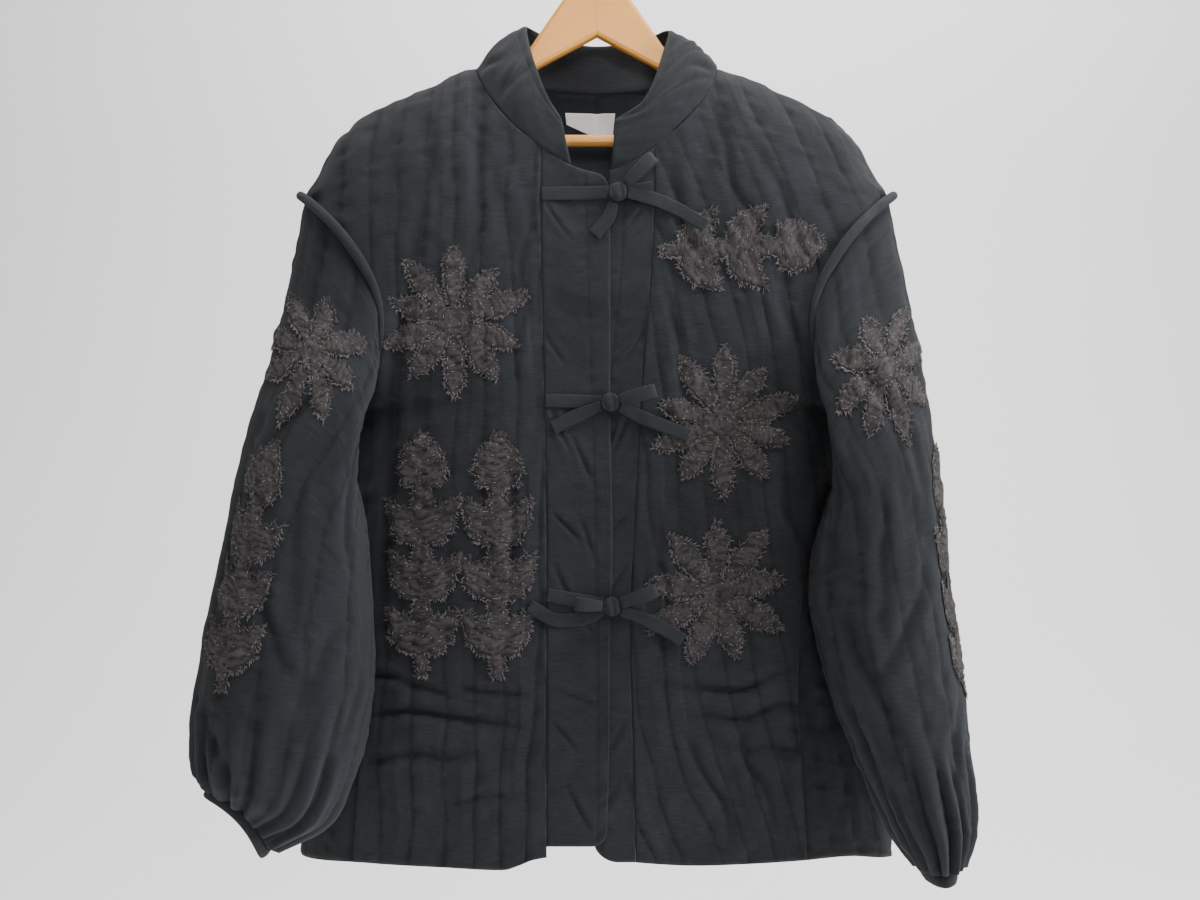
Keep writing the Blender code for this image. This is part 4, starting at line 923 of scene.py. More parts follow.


# %% [markdown]
# The jacket's cloth is a washed, slubbed plain weave: uneven crosswise threads thicker than the
# lengthwise ones. It is painted paler where it stands up, partly washed wear and partly painted
# light, and darker where it sinks and in the stitched grooves, which is painted shade. An image
# could carry this, but noise on the cloth's own UV map follows every panel and never repeats.

# %% Cloth materials
def cloth(name, dark, pale, slub_share, wear_and_relief_shade, thread_mm=0.7, bump=1.0):
    made, tree, shader = new_material(name)
    uv = node(tree, "ShaderNodeUVMap", uv_map="weave").outputs["UV"]
    place = node(tree, "ShaderNodeTexCoord").outputs["Object"]

    def streaks(size_u, size_v, detail, rough=0.6):
        scaled = node(tree, "ShaderNodeMapping", {"Vector": uv, "Scale": (1 / size_u, 1 / size_v, 1)})
        seen = {"Vector": scaled.outputs[0], "Scale": 1.0, "Detail": detail, "Roughness": rough}
        return node(tree, "ShaderNodeTexNoise", seen, noise_dimensions="2D").outputs["Fac"]

    def threads(direction):
        scaled = node(tree, "ShaderNodeMapping", {"Vector": uv, "Scale": (1 / thread_mm * 1000,) * 3})
        seen = {"Vector": scaled.outputs[0], "Scale": 1.0, "Distortion": 0.6, "Detail": 1.0}
        return node(tree, "ShaderNodeTexWave", seen, bands_direction=direction).outputs["Fac"]

    slub = streaks(0.011, 0.0011, 3.0)
    warp = streaks(0.0012, 0.017, 2.0)
    wash = node(tree, "ShaderNodeTexNoise", {"Vector": place, "Scale": 7.0, "Detail": 4.0}).outputs["Fac"]
    fuzz = node(tree, "ShaderNodeTexNoise", {"Vector": place, "Scale": 900.0, "Detail": 2.0}).outputs["Fac"]
    height = node(tree, "ShaderNodeAttribute", attribute_name="height").outputs["Fac"]
    line = node(tree, "ShaderNodeAttribute", attribute_name="seam").outputs["Fac"]
    share = maths(tree, "MULTIPLY_ADD", slub, slub_share)
    tree.nodes[-1].inputs[2].default_value = 0.5 - slub_share / 2 - 0.12
    share = maths(tree, "ADD", share, maths(tree, "MULTIPLY", maths(tree, "SUBTRACT", warp, 0.5), 0.35))
    share = maths(tree, "ADD", share, maths(tree, "MULTIPLY", maths(tree, "SUBTRACT", wash, 0.5), 0.9))
    # From the cloth's height, crests are painted paler and hollows darker: partly washed wear, partly painted light and
    # painted shade.
    share = maths(tree, "ADD", share, maths(tree, "MULTIPLY", height, wear_and_relief_shade))
    colour = blend(tree, share, (*dark, 1), (*pale, 1))
    # Along the stitched lines the colour is darkened: painted shade in the quilting grooves.
    colour = blend(tree, maths(tree, "MULTIPLY", line, 0.6), colour, (*(0.45 * c for c in dark), 1))
    tree.links.new(colour, shader.inputs["Base Color"])
    shader.inputs["Roughness"].default_value = 0.88
    shader.inputs["Specular IOR Level"].default_value = 0.25
    shader.inputs["Sheen Weight"].default_value = 0.05
    shader.inputs["Sheen Roughness"].default_value = 0.5
    weave = maths(tree, "ADD", maths(tree, "MULTIPLY", threads("X"), 0.35), maths(tree, "MULTIPLY", threads("Y"), 0.5))
    relief = maths(tree, "ADD", weave, maths(tree, "MULTIPLY", slub, 1.6))
    relief = maths(tree, "ADD", relief, maths(tree, "MULTIPLY", fuzz, 0.6))
    bumped = {"Height": relief, "Strength": 0.55 * bump, "Distance": 0.0006}
    tree.links.new(node(tree, "ShaderNodeBump", bumped).outputs[0], shader.inputs["Normal"])
    return made


def thread(name, colour):
    made, tree, shader = new_material(name)
    place = node(tree, "ShaderNodeTexCoord").outputs["Object"]
    seen = {"Vector": place, "Scale": 420.0, "Detail": 2.0}
    change = node(tree, "ShaderNodeTexNoise", seen).outputs["Fac"]
    darker, paler = [tuple(c * k for c in colour) + (1,) for k in (0.6, 1.4)]
    tree.links.new(blend(tree, change, darker, paler), shader.inputs["Base Color"])
    bumped = {"Height": change, "Strength": 0.5, "Distance": 0.0002}
    tree.links.new(node(tree, "ShaderNodeBump", bumped).outputs[0], shader.inputs["Normal"])
    shader.inputs["Roughness"].default_value = 0.8
    return made


CHARCOAL = cloth("charcoal_cloth", (0.0048, 0.0058, 0.0073), (0.0185, 0.0216, 0.0262), 1.2, 0.10)
TAPE = cloth("charcoal_tape", (0.0070, 0.0083, 0.0100), (0.0240, 0.0278, 0.0330), 0.9, 0.12, thread_mm=0.5)
PATCH = cloth("brown_patch_cloth", (0.0065, 0.0054, 0.0059), (0.055, 0.0470, 0.0475), 1.2, 0.33, thread_mm=0.5)
DARK_THREAD = thread("dark_thread", (0.006, 0.0065, 0.0072))
GREY_THREAD = thread("grey_thread", (0.150, 0.136, 0.135))
FRAY_THREAD = thread("frayed_thread", (0.090, 0.079, 0.077))
print("cloths:", [m.name for m in bpy.data.materials if "cloth" in m.name or "thread" in m.name])


# %% [markdown]
# The two fronts are cut alike, but they hang differently. The wearer's right front has lines that
# run nearly straight down; on the left one they lean outward towards the hem. Below the lowest tie
# the pull of the knot lays short creases across both.

# %% The fronts
BODY_PLACES = [-z for z in BODY_ROWS] + [816.0]


def front_grid(sign):
    word = "right" if sign < 0 else "left"
    rows = []
    for z in (*BODY_ROWS, None):
        height = HEM["z"].mean() if z is None else z
        seam = abs(float(smooth(BANDS["z"], BANDS[f"{word}_seam"], height)))
        inner = max(neckline_x(height), seam) if height > PLACKET_TOP - 1 else seam
        outer = edge_x(height)
        if height < UNDERARM_Z:
            outer *= math.sin(math.radians(body(f"{word}_seam", height)))
        row = []
        for c in range(FRONT_COLUMNS + 1):
            x = sign * mix(inner, outer, c / FRONT_COLUMNS)
            place = float(smooth(HEM["x"], HEM["z"], x)) if z is None else height
            row.append(panel_frame(x, place, -1, layer=sign > 0))
        rows.append(row)
    return [[p for p, n in row] for row in rows], [[n for p, n in row] for row in rows]


# Each crease: how far out from the centre and down from the hook it starts and ends, depth, width.
RIGHT_CREASES = (
    (62, 700, 205, 690, 2.6, 4.0), (95, 722, 208, 735, 1.8, 4.5), (52, 672, 120, 668, 1.6, 3.2),
    (110, 678, 190, 660, 1.2, 3.0), (60, 755, 130, 770, 1.0, 4.0), (150, 300, 176, 470, 1.8, 5.0),
    (172, 430, 184, 640, 1.6, 5.0), (58, 250, 66, 420, 1.2, 3.5), (96, 190, 100, 330, 1.3, 4.0),
    (130, 205, 150, 320, 1.1, 4.0), (70, 470, 64, 640, 1.0, 3.0), (160, 660, 214, 668, 1.6, 3.0),
)
LEFT_CREASES = (
    (58, 672, 168, 664, 2.4, 3.6), (70, 694, 196, 688, 1.7, 4.0), (96, 716, 205, 728, 1.4, 4.2),
    (60, 240, 88, 330, 1.7, 4.0), (96, 205, 138, 330, 1.9, 4.2), (132, 222, 172, 330, 1.5, 4.0),
    (150, 330, 186, 470, 1.5, 4.5), (62, 340, 76, 470, 1.3, 3.5), (70, 700, 112, 800, 1.6, 3.8),
    (112, 690, 150, 790, 1.5, 4.0), (160, 690, 176, 800, 1.2, 4.0), (150, 480, 190, 640, 1.3, 4.5),
    (52, 520, 56, 660, 1.1, 3.0),
)


def front_lean(sign):
    def lean(v):
        if sign < 0:
            return -0.02 * (v - 400)
        return -smooth((150, 330, 480, 660, 820), (0, 62, 84, 104, 150), v)

    return lean


fronts = {}
for sign, rows in ((-1, RIGHT_CREASES), (1, LEFT_CREASES)):
    word = "right" if sign < 0 else "left"
    base, outward = front_grid(sign)
    panel = make_panel(base, outward, BODY_PLACES, 251, 89, across=lambda grid, s=sign: grid[..., 0] * s)
    rule = quilting(24.0, front_lean(sign), 8.0, 11 + sign)
    relief = puffs(panel, rule, 1.15) + creases(panel, rows, 31 + sign, 6.0)
    raise_cloth(panel, relief)
    panel["rule"] = rule
    fronts[word] = panel
    cloth_wall(f"quilted_front_{word}", panel, WALL, CHARCOAL)


# %% [markdown]
# The back is one wide piece that reaches round both sides to the front, so its side seams show from
# before it. No photograph shows it, so it gets the same straight quilting and a few plain creases.

# %% The back
def back_grid():
    top = []
    for c in range(BACK_COLUMNS + 1):
        x = mix(BACK_TOP_HALF, -BACK_TOP_HALF, c / BACK_COLUMNS)
        if abs(x) >= NECK_HALF:
            top.append(ridge_frame(x))
        else:
            top.append(flat_frame(x, NECK_TOP - BACK_DROP * math.sqrt(1 - (x / NECK_HALF) ** 2), 1))
    rows = [top]
    for z in [z for z in BODY_ROWS if z < BACK_TOP_ROW] + [None]:
        height = BACK_HEM if z is None else z
        row = []
        for place in back_row(height):
            if height < UNDERARM_Z:
                drop = 0.0
                if z is None and math.cos(place) > 0:
                    x = body("half_width", height) * math.sin(place)
                    drop = float(smooth(HEM["x"], HEM["z"], x)) - BACK_HEM
                row.append(ring_frame(place, height + drop))
            else:
                row.append(panel_frame(place, height, 1))
        rows.append(row)
    places = [158.0] + [-z for z in BODY_ROWS if z < BACK_TOP_ROW] + [-BACK_HEM]
    return [[p for p, n in row] for row in rows], [[n for p, n in row] for row in rows], places


def from_middle(grid):
    """Distances across the back from its middle: the walk along each row, less its own half."""
    steps = np.linalg.norm(np.diff(grid, axis=1), axis=2)
    walk = np.concatenate([np.zeros((len(grid), 1)), np.cumsum(steps, axis=1)], axis=1)
    return walk - walk[:, -1:] / 2


BACK_CREASES = (
    (-60, 230, -40, 400, 1.6, 4.5), (90, 240, 70, 420, 1.5, 4.5), (10, 300, 24, 520, 1.3, 4.0),
    (-150, 330, -120, 520, 1.6, 5.0), (160, 340, 130, 560, 1.6, 5.0), (-200, 640, -80, 660, 1.5, 4.0),
    (80, 650, 200, 636, 1.6, 4.0), (-30, 690, 90, 700, 1.2, 4.0), (-110, 560, -96, 780, 1.3, 4.5),
    (130, 590, 150, 790, 1.2, 4.5), (230, 500, 250, 760, 1.8, 5.0), (-240, 480, -256, 770, 1.8, 5.0),
    (272, 660, 320, 668, 1.6, 3.2), (-318, 664, -270, 672, 1.6, 3.2),
)
base, outward, places = back_grid()
back = make_panel(base, outward, places, 211, 191, across=from_middle)
back["rule"] = quilting(25.0, lambda v: 0.0, 7.0, 51)
raise_cloth(back, puffs(back, back["rule"], 1.15) + creases(back, BACK_CREASES, 57, 6.0))
cloth_wall("quilted_back", back, WALL, CHARCOAL)


# %% [markdown]
# The bands are a second layer sewn on and pressed, so they are flatter than the fronts, with only
# small puckers that the topstitching draws across them.

# %% The front bands
def band_grid(sign):
    word = "right" if sign < 0 else "left"
    width, bottom, corner = BAND_SHAPE[sign]
    columns = 4 * BAND_COLUMNS
    rows = []
    for r in range(BAND_ROWS + 1):
        row = []
        for c in range(columns + 1):
            share = c / columns
            past = max(share * width - (width - corner), 0.0) / corner
            rounding = corner * (1 - math.sqrt(1 - (BAND_CORNER_END * past) ** 2))
            seam_top = float(smooth(BANDS["z"], BANDS[f"{word}_seam"], PLACKET_TOP))
            edge_top = float(smooth(BANDS["z"], BANDS[f"{word}_edge"], PLACKET_TOP))
            x_top = mix(seam_top, edge_top, share)
            share_x = min(abs(x_top) / NECK_HALF, 1.0) if x_top * sign > 0 else 0.0
            top = NECK_TOP - FRONT_DROP * (1 - share_x**NECK_POWER) ** (1 / NECK_POWER)
            if sign < 0:
                top -= rounding * BAND_TOP_CORNER
            z = mix(top - SEAM_GAP, bottom + rounding, r / BAND_ROWS)
            seam = float(smooth(BANDS["z"], BANDS[f"{word}_seam"], z))
            edge = float(smooth(BANDS["z"], BANDS[f"{word}_edge"], z))
            row.append(flat_or_ring(mix(seam, edge, share), z, sign > 0))
        rows.append(row)
    return [[p for p, n in row] for row in rows], [[n for p, n in row] for row in rows]


# Creases across a band: how far in from its seam and down it starts and ends, depth, width.
BAND_CREASES = (
    (4, 40, 30, 62, 0.9, 2.2), (24, 96, 46, 84, 0.8, 2.0), (6, 205, 26, 250, 1.0, 2.4), (22, 222, 40, 266, 1.0, 2.4),
    (5, 296, 30, 318, 1.0, 2.2), (28, 292, 43, 335, 0.8, 2.2), (4, 340, 22, 372, 1.0, 2.4), (26, 372, 40, 396, 0.7, 2.0),
    (8, 442, 40, 452, 0.9, 2.2), (4, 468, 24, 494, 0.8, 2.2), (14, 520, 36, 560, 1.0, 2.6), (2, 150, 20, 170, 0.8, 2.2),
)
bands = {}
for sign, down in ((-1, 572.0), (1, 586.0)):
    word = "right" if sign < 0 else "left"
    base, outward = band_grid(sign)
    panel = make_panel(base, outward, np.linspace(0, down, BAND_ROWS + 1), 231, 33)
    u, v = panel["u"], panel["v"][:, None] + 0 * panel["u"]
    width = BAND_SHAPE[sign][0]
    near_stitch = np.exp(-(((width - 8 - u) / 6) ** 2)) + 0.7 * np.exp(-((u / 6) ** 2))
    inset = 8.0 if sign < 0 else 6.0
    relief = 0.9 * noise(u + 0.5 * v, v, 22, 10, 71) + 1.1 * near_stitch * noise(u, v + 0.4 * u, 14, 6, 72)
    relief += 0.8 * noise(u, v, 36, 36, 73) - 0.35 * np.exp(-(((width - inset - u) / 1.5) ** 2))
    # A mask along the topstitching and the band's seam, which the material paints darker: painted shade in those
    # grooves.
    panel["seam"] = np.exp(-(((width - inset - u) / 0.9) ** 2)) + 0.8 * np.exp(-((u / 1.6) ** 2))
    raise_cloth(panel, relief + creases(panel, BAND_CREASES, 75 + sign, 2.5) + 0.3)
    bands[word] = panel
    cloth_wall(f"faced_band_{word}", panel, WALL, CHARCOAL)


# %% [markdown]
# The collar is a straight strip sewn into the neckline, so it stands, bulges a little and creases
# on the slant where it bends round the neck.

# %% The collar
def collar_grid():
    turns = np.linspace(COLLAR["turn"][0], COLLAR["turn"][-1], 2 * COLLAR_COLUMNS + 1)
    low = np.array([neck_point(t) for t in turns])
    high = np.stack([smooth(COLLAR["turn"], COLLAR[f"top_{a}"], turns) for a in "xyz"], axis=1)
    up = unit(high - low)
    centre = (low.mean(axis=0) + high.mean(axis=0)) / 2
    out = unit(np.cross(up, np.gradient(low + high, axis=0)))
    if np.einsum("ij,ij->i", out, (low + high) / 2 - centre).mean() < 0:
        out = -out
    behind = np.sqrt(np.clip(-np.cos(np.radians(turns)), 0, 1))[:, None]
    low = low + up * (0.15 - 2.0 * behind) - out * 1.0 * behind
    rows = []
    for share in np.linspace(0, 1, 9):
        rows.append(mix(high, low, share) + out * COLLAR_BULGE * math.sin(math.pi * share))
    return np.array(rows), np.repeat(out[None], len(rows), axis=0)


COLLAR_CREASES = tuple(
    (60 + 19 * k + 5 * math.sin(5 * k), 3 + 9 * (k % 3), 72 + 19 * k + 8 * math.cos(3 * k), 40, 1.1, 2.4)
    for k in range(19)
)
base, outward = collar_grid()
collar_panel = make_panel(base, outward, np.linspace(0, 44, 9), 31, 257)
u, v = collar_panel["u"], collar_panel["v"][:, None] + 0 * collar_panel["u"]
relief = 1.0 * noise(u + 0.5 * v, v, 17, 26, 81) + 0.7 * noise(u - 0.4 * v, v, 9, 12, 82)
relief -= 0.5 * np.exp(-(((v - 5.5) / 1.2) ** 2))
# A mask along the collar's stitched line, which the material paints darker: painted shade in the groove.
collar_panel["seam"] = np.exp(-(((v - 5.5) / 0.9) ** 2))
raise_cloth(collar_panel, relief + creases(collar_panel, COLLAR_CREASES, 83, 2.0) + 0.3)
cloth_wall("stand_collar", collar_panel, COLLAR_WALL, CHARCOAL)


# %% [markdown]
# A sleeve is a tube from the armhole to the gathers. Its first ring is the armhole's own edge, and
# the named sections lower down swell it out and gather it in. Long quilted lines run down it, and
# deep pleats run up from the cuff, each of its own length, because no hand gathers cloth evenly.

# %% The sleeves
def with_middles(values, end=None):
    ring = np.asarray(values)
    following = np.roll(ring, -1, axis=0)
    if end is not None:
        following[-1] = end
    return np.stack([ring, (ring + following) / 2], axis=1).reshape(-1, *ring.shape[1:])


def sleeve_grid(sign, sections):
    turns = with_middles(armhole_turns(), 2 * math.pi)
    first, first_out = armhole_ring(sign, turns)
    keys = [first] + [section_ring(sections, i, sign, turns) for i in range(len(sections["depth"]))]
    keys = np.array(keys)
    steps = np.linalg.norm(np.diff(keys.mean(axis=1), axis=0), axis=1)
    places = np.concatenate([[0], np.cumsum(steps)])
    rows = np.linspace(0, places[-1], SLEEVE_ROWS + 1)
    grid = smooth(places, keys, rows)
    along_seam = np.roll(first, -1, axis=0) - np.roll(first, 1, axis=0)
    grid[0] -= sign * unit(np.cross(first_out, along_seam)) * UNDER_PIPING
    outward = grid_normals(grid, sign)
    outward[0] = unit(first_out)
    outward[-1] = unit(outward[-1] + cuff_normals(grid[-1], sign))
    return grid, outward, rows


# How far round and down each crease starts and ends, depth, width. 0 is the sleeve's outer side,
# and on both sleeves the distance grows by the front.
SLEEVE_CREASES = (
    (60, 60, 30, 200, 1.5, 4.5), (100, 90, 118, 230, 1.6, 4.5), (40, 230, 96, 330, 1.6, 4.5),
    (110, 260, 84, 380, 1.7, 4.5), (20, 330, 60, 420, 1.5, 4.5), (130, 300, 112, 420, 1.6, 4.0),
    (70, 160, 84, 300, 1.2, 4.0), (200, 80, 215, 260, 1.5, 5.0), (240, 180, 228, 350, 1.6, 5.0),
    (180, 260, 196, 400, 1.4, 4.5), (270, 90, 262, 260, 1.3, 4.5), (280, 300, 262, 410, 1.5, 4.5),
    (96, 30, 92, 120, 1.4, 4.0), (12, 110, 22, 300, 1.2, 4.5), (140, 60, 136, 170, 1.3, 4.0),
)
SLEEVE_AROUND = 300.0
UNDER_PIPING = 1.6


def pleats(panel, seed):
    """Troughs that run up from the cuff, uneven in place, length and depth."""
    chance = np.random.default_rng(seed)
    rows, down = [], panel["v"][-1]
    place = 0.0
    while place < SLEEVE_AROUND - 9:
        length = chance.uniform(45, 120)
        lean = chance.uniform(-14, 14)
        rows.append((place + lean, down - length, place, down + length, chance.uniform(2.4, 3.6), 3.2))
        place += chance.uniform(12, 24)
    return creases(panel, rows, seed + 1, 1.5)


sleeves = {}
for sign, sections in ((-1, RIGHT_SLEEVE), (1, LEFT_SLEEVE)):
    word = "right" if sign < 0 else "left"
    base, outward, places = sleeve_grid(sign, sections)
    panel = make_panel(base, outward, places, 177, 144, closed=True, around=SLEEVE_AROUND)
    panel["rule"] = quilting(25.0, lambda v: 0.05 * (v - 200), 7.0, 91 + sign)
    relief = puffs(panel, panel["rule"], 1.15) + creases(panel, SLEEVE_CREASES, 97 + sign)
    depth = np.clip((panel["v"] / panel["v"][-1] - 0.6) / 0.4, 0, 1)[:, None] ** 1.5
    relief += depth * 1.6 + pleats(panel, 101 + sign) * np.clip(depth * 3, 0, 1)
    relief *= np.clip(panel["v"] / 12, 0.15, 1)[:, None]
    raise_cloth(panel, relief)
    sleeves[word] = panel
    cloth_wall(f"balloon_sleeve_{word}", panel, WALL, CHARCOAL)


# %% [markdown]
# Each cuff is a narrow strip folded over the gathers. It follows the sleeve's last ring, and small
# ripples show where the gathers push against it.

# %% The cuffs
cuffs = {}
for sign in (-1, 1):
    word = "right" if sign < 0 else "left"
    panel = sleeves[word]
    end, axis = panel["base"][-1], unit(CUFF_AXIS[sign])
    steps = np.linspace(0, 1, 13)
    base = np.array([end + axis * (SEAM_GAP + CUFF_WIDTH * share) for share in steps])
    outward = np.repeat(cuff_normals(end, sign)[None], len(base), axis=0)
    outward[0] = panel["outward"][-1]
    bound = make_panel(base, outward, steps * CUFF_WIDTH, 13, 144, closed=True, around=SLEEVE_AROUND / 2)
    u, v = bound["u"], bound["v"][:, None] + 0 * bound["u"]
    swell = np.sin(np.pi * v / CUFF_WIDTH) * 1.1
    raise_cloth(bound, swell + 0.25 * noise(u, v, 4, 5, 111 + sign))
    cuffs[word] = bound
    cloth_wall(f"bound_cuff_{word}", bound, CUFF_WALL, TAPE)


# %% [markdown]
# Thick corded piping stands on each armhole's seam. It is a cord in a bias strip, so the strip's
# threads run round it on the slant. A ring of rings makes it, and its radius follows the table:
# full over the shoulder, and pressed thin under the arm.

# %% The piping
def cord_ring(name, path, radii, sides, material, pitch=9.0):
    along = unit(np.roll(path, -1, axis=0) - np.roll(path, 1, axis=0))
    across = unit(np.cross(along, np.array((0.0, 0.02, 1.0))))
    upright = np.cross(across, along)
    walk = np.concatenate([[0], np.cumsum(np.linalg.norm(np.diff(path, axis=0), axis=1))])
    turn = 2 * np.pi * np.arange(sides + 1) / sides
    twist = 1 + 0.035 * np.sin(2 * np.pi * walk[:, None] / pitch + turn[None])
    radius = (radii[:, None] * twist)[..., None]
    points = path[:, None] + radius * (np.cos(turn)[None, :, None] * across[:, None]
                                       + np.sin(turn)[None, :, None] * upright[:, None])
    uv = np.stack([np.repeat(walk[:, None], sides + 1, axis=1), turn[None] * radii[:, None]], axis=-1)
    count = len(path)
    index = np.arange(count * sides).reshape(count, sides)
    index = np.concatenate([index, index[:, :1]], axis=1)
    index = np.concatenate([index, index[:1]], axis=0)
    faces = np.stack([index[:-1, :-1], index[1:, :-1], index[1:, 1:], index[:-1, 1:]], axis=-1)
    made = mesh_object(name, points[:, :sides].reshape(-1, 3), faces.reshape(-1, 4).tolist(), material,
                       uv[:, :sides].reshape(-1, 2), np.full(count * sides, 0.8))
    return made, walk[-1]


pipings = {}
for sign in (-1, 1):
    word = "right" if sign < 0 else "left"
    turns = with_middles(with_middles(with_middles(armhole_turns(), 2 * math.pi), 2 * math.pi), 2 * math.pi)
    ring, out = armhole_ring(sign, turns)
    degrees = np.degrees(turns)
    path = ring + unit(out) * (smooth(SEAM["turn"], SEAM["stand"], degrees)[:, None] - UNDER_PIPING)
    radii = smooth(SEAM["turn"], SEAM["cord"], degrees)
    pipings[word], length = cord_ring(f"corded_piping_{word}", path, radii, 14, TAPE)
    print(f"piping {word}: {length:.0f} mm round")


# %% [markdown]
# The patches are flowers and leafy stems cut from a browner cloth. Their outlines come from a rule:
# a petal is a lobe that is narrow at its root and full near its tip, and a flower is the furthest
# reach of all its petals in each direction. A stem has lobed leaves in tiers. Each outline is cut
# unevenly, as scissors and washing leave it.

# %% Outlines of flowers and stems
def flower(reaches, half_width, core, seed):
    chance = np.random.default_rng(seed)
    angles = np.linspace(0, 2 * np.pi, 541)[:-1]
    out = np.full(len(angles), core)
    far = np.linspace(0, 1, 90)
    for i, reach in enumerate(reaches):
        middle = 2 * np.pi * i / len(reaches) + chance.uniform(-0.05, 0.05)
        off = (angles[:, None] - middle + np.pi) % (2 * np.pi) - np.pi
        r = far[None] * reach
        along, side = r * np.cos(off) / reach, np.abs(r * np.sin(off))
        full = half_width * (0.2 + 0.8 * np.sin(np.pi * np.clip(along, 0, 1) ** 1.5) ** 1.2)
        notch = 1 + 0.10 * np.sin(along * (19 + 2 * (i % 3)) + 3 * i)
        inside = (side < full * notch * np.clip((1 - along) * 7, 0, 1) ** 0.5) & (along > 0)
        out = np.maximum(out, np.where(inside, r, 0).max(axis=1))
    return np.stack([out * np.sin(angles), out * np.cos(angles)], axis=1)


# One leaf's edge, from its root out to the tip and back along its upper side: how far out, how far up.
LEAF = ((0.17, 0.0), (0.42, -0.02), (0.66, 0.06), (0.70, 0.17), (0.90, 0.24), (0.90, 0.38), (1.0, 0.58),
        (1.05, 0.84), (0.88, 0.75), (0.78, 0.81), (0.64, 0.66), (0.54, 0.72), (0.37, 0.62), (0.26, 0.76),
        (0.22, 0.97))
BUD = ((0.24, 0.0), (0.58, 0.04), (0.56, 0.18), (0.72, 0.28), (0.60, 0.44), (0.56, 0.62), (0.34, 0.80), (0.08, 1.0))


def leafy_stem(length, pairs, leaf, stem, seed):
    chance = np.random.default_rng(seed)
    pitch = length / (pairs + 1.45)
    sides = []
    for sign in (1, -1):
        points = [(stem * 0.7, 0.0), (stem, pitch * 0.4)]
        for k in range(pairs):
            wide, tall = leaf * chance.uniform(0.9, 1.03), pitch * chance.uniform(0.96, 1.1)
            root = pitch * (0.42 + k)
            points += [(max(x * wide, stem * 0.8), root + z * tall) for x, z in LEAF]
        root = pitch * (0.46 + pairs)
        points += [(x * leaf, root + z * (length - root)) for x, z in BUD]
        sides.append(np.array([(sign * x, z) for x, z in points]))
    return np.concatenate([sides[0], sides[1][::-1]])


def cut_unevenly(outline, step, seed):
    """Walks an outline in equal steps and pushes each point in or out a little."""
    closed = np.concatenate([outline, outline[:1]])
    walk = np.concatenate([[0], np.cumsum(np.linalg.norm(np.diff(closed, axis=0), axis=1))])
    at = np.arange(0, walk[-1] - step / 2, step)
    points = np.stack([np.interp(at, walk, closed[:, k]) for k in (0, 1)], axis=1)
    tangent = unit(np.roll(points, -1, axis=0) - np.roll(points, 1, axis=0))
    teeth = 0.55 * np.sin(at / 1.15 + 2 * np.sin(at / 7)) + 0.5 * noise(at, at * 0, 4, 1, seed)
    return points + np.stack([tangent[:, 1], -tangent[:, 0]], axis=1) * teeth[:, None]


def outline_distance(points, outline):
    """How far places lie inside an outline: below zero is outside."""
    a, b = outline, np.roll(outline, -1, axis=0)
    p = points[:, None]
    t = np.clip(((p - a) * (b - a)).sum(2) / ((b - a) ** 2).sum(1), 0, 1)[..., None]
    near = np.linalg.norm(a + (b - a) * t - p, axis=2).min(axis=1)
    x, y = points[:, :1], points[:, 1:]
    crossing = (a[:, 1] > y) != (b[:, 1] > y)
    rise = np.where(b[:, 1] == a[:, 1], 1, b[:, 1] - a[:, 1])
    hits = crossing & (x < (b[:, 0] - a[:, 0]) * (y - a[:, 1]) / rise + a[:, 0])
    return np.where(hits.sum(axis=1) % 2 == 1, near, -near)


# %% [markdown]
# A patch is laid out flat, filled with a net of triangles, and then every point is put where the
# quilted panel under it is, a little higher. So it takes over each puff and groove. Rows of running
# stitches draw it in, and its own cloth swells between them.

# %% Patches on the panels
PATCH_NET = 1.7
PATCH_THICK = 0.9
ROW_GAP = 5.0


def stitch_rows(flat, kind, seed):
    """How many rows of stitching lie before each place: rings in a flower, arcs up a stem."""
    x, y = flat[:, 0], flat[:, 1]
    sway = 4.5 * noise(x, y, 15, 15, seed) + 2.0 * noise(x, y, 6, 6, seed + 9)
    if kind == "flower":
        return (np.hypot(x, y) + sway) / ROW_GAP
    return (y - 0.35 * np.abs(x) + sway) / ROW_GAP


def flat_to_panel(flat, layout):
    return layout["u"] + flat @ layout["across"], layout["v"] + flat @ layout["down"]


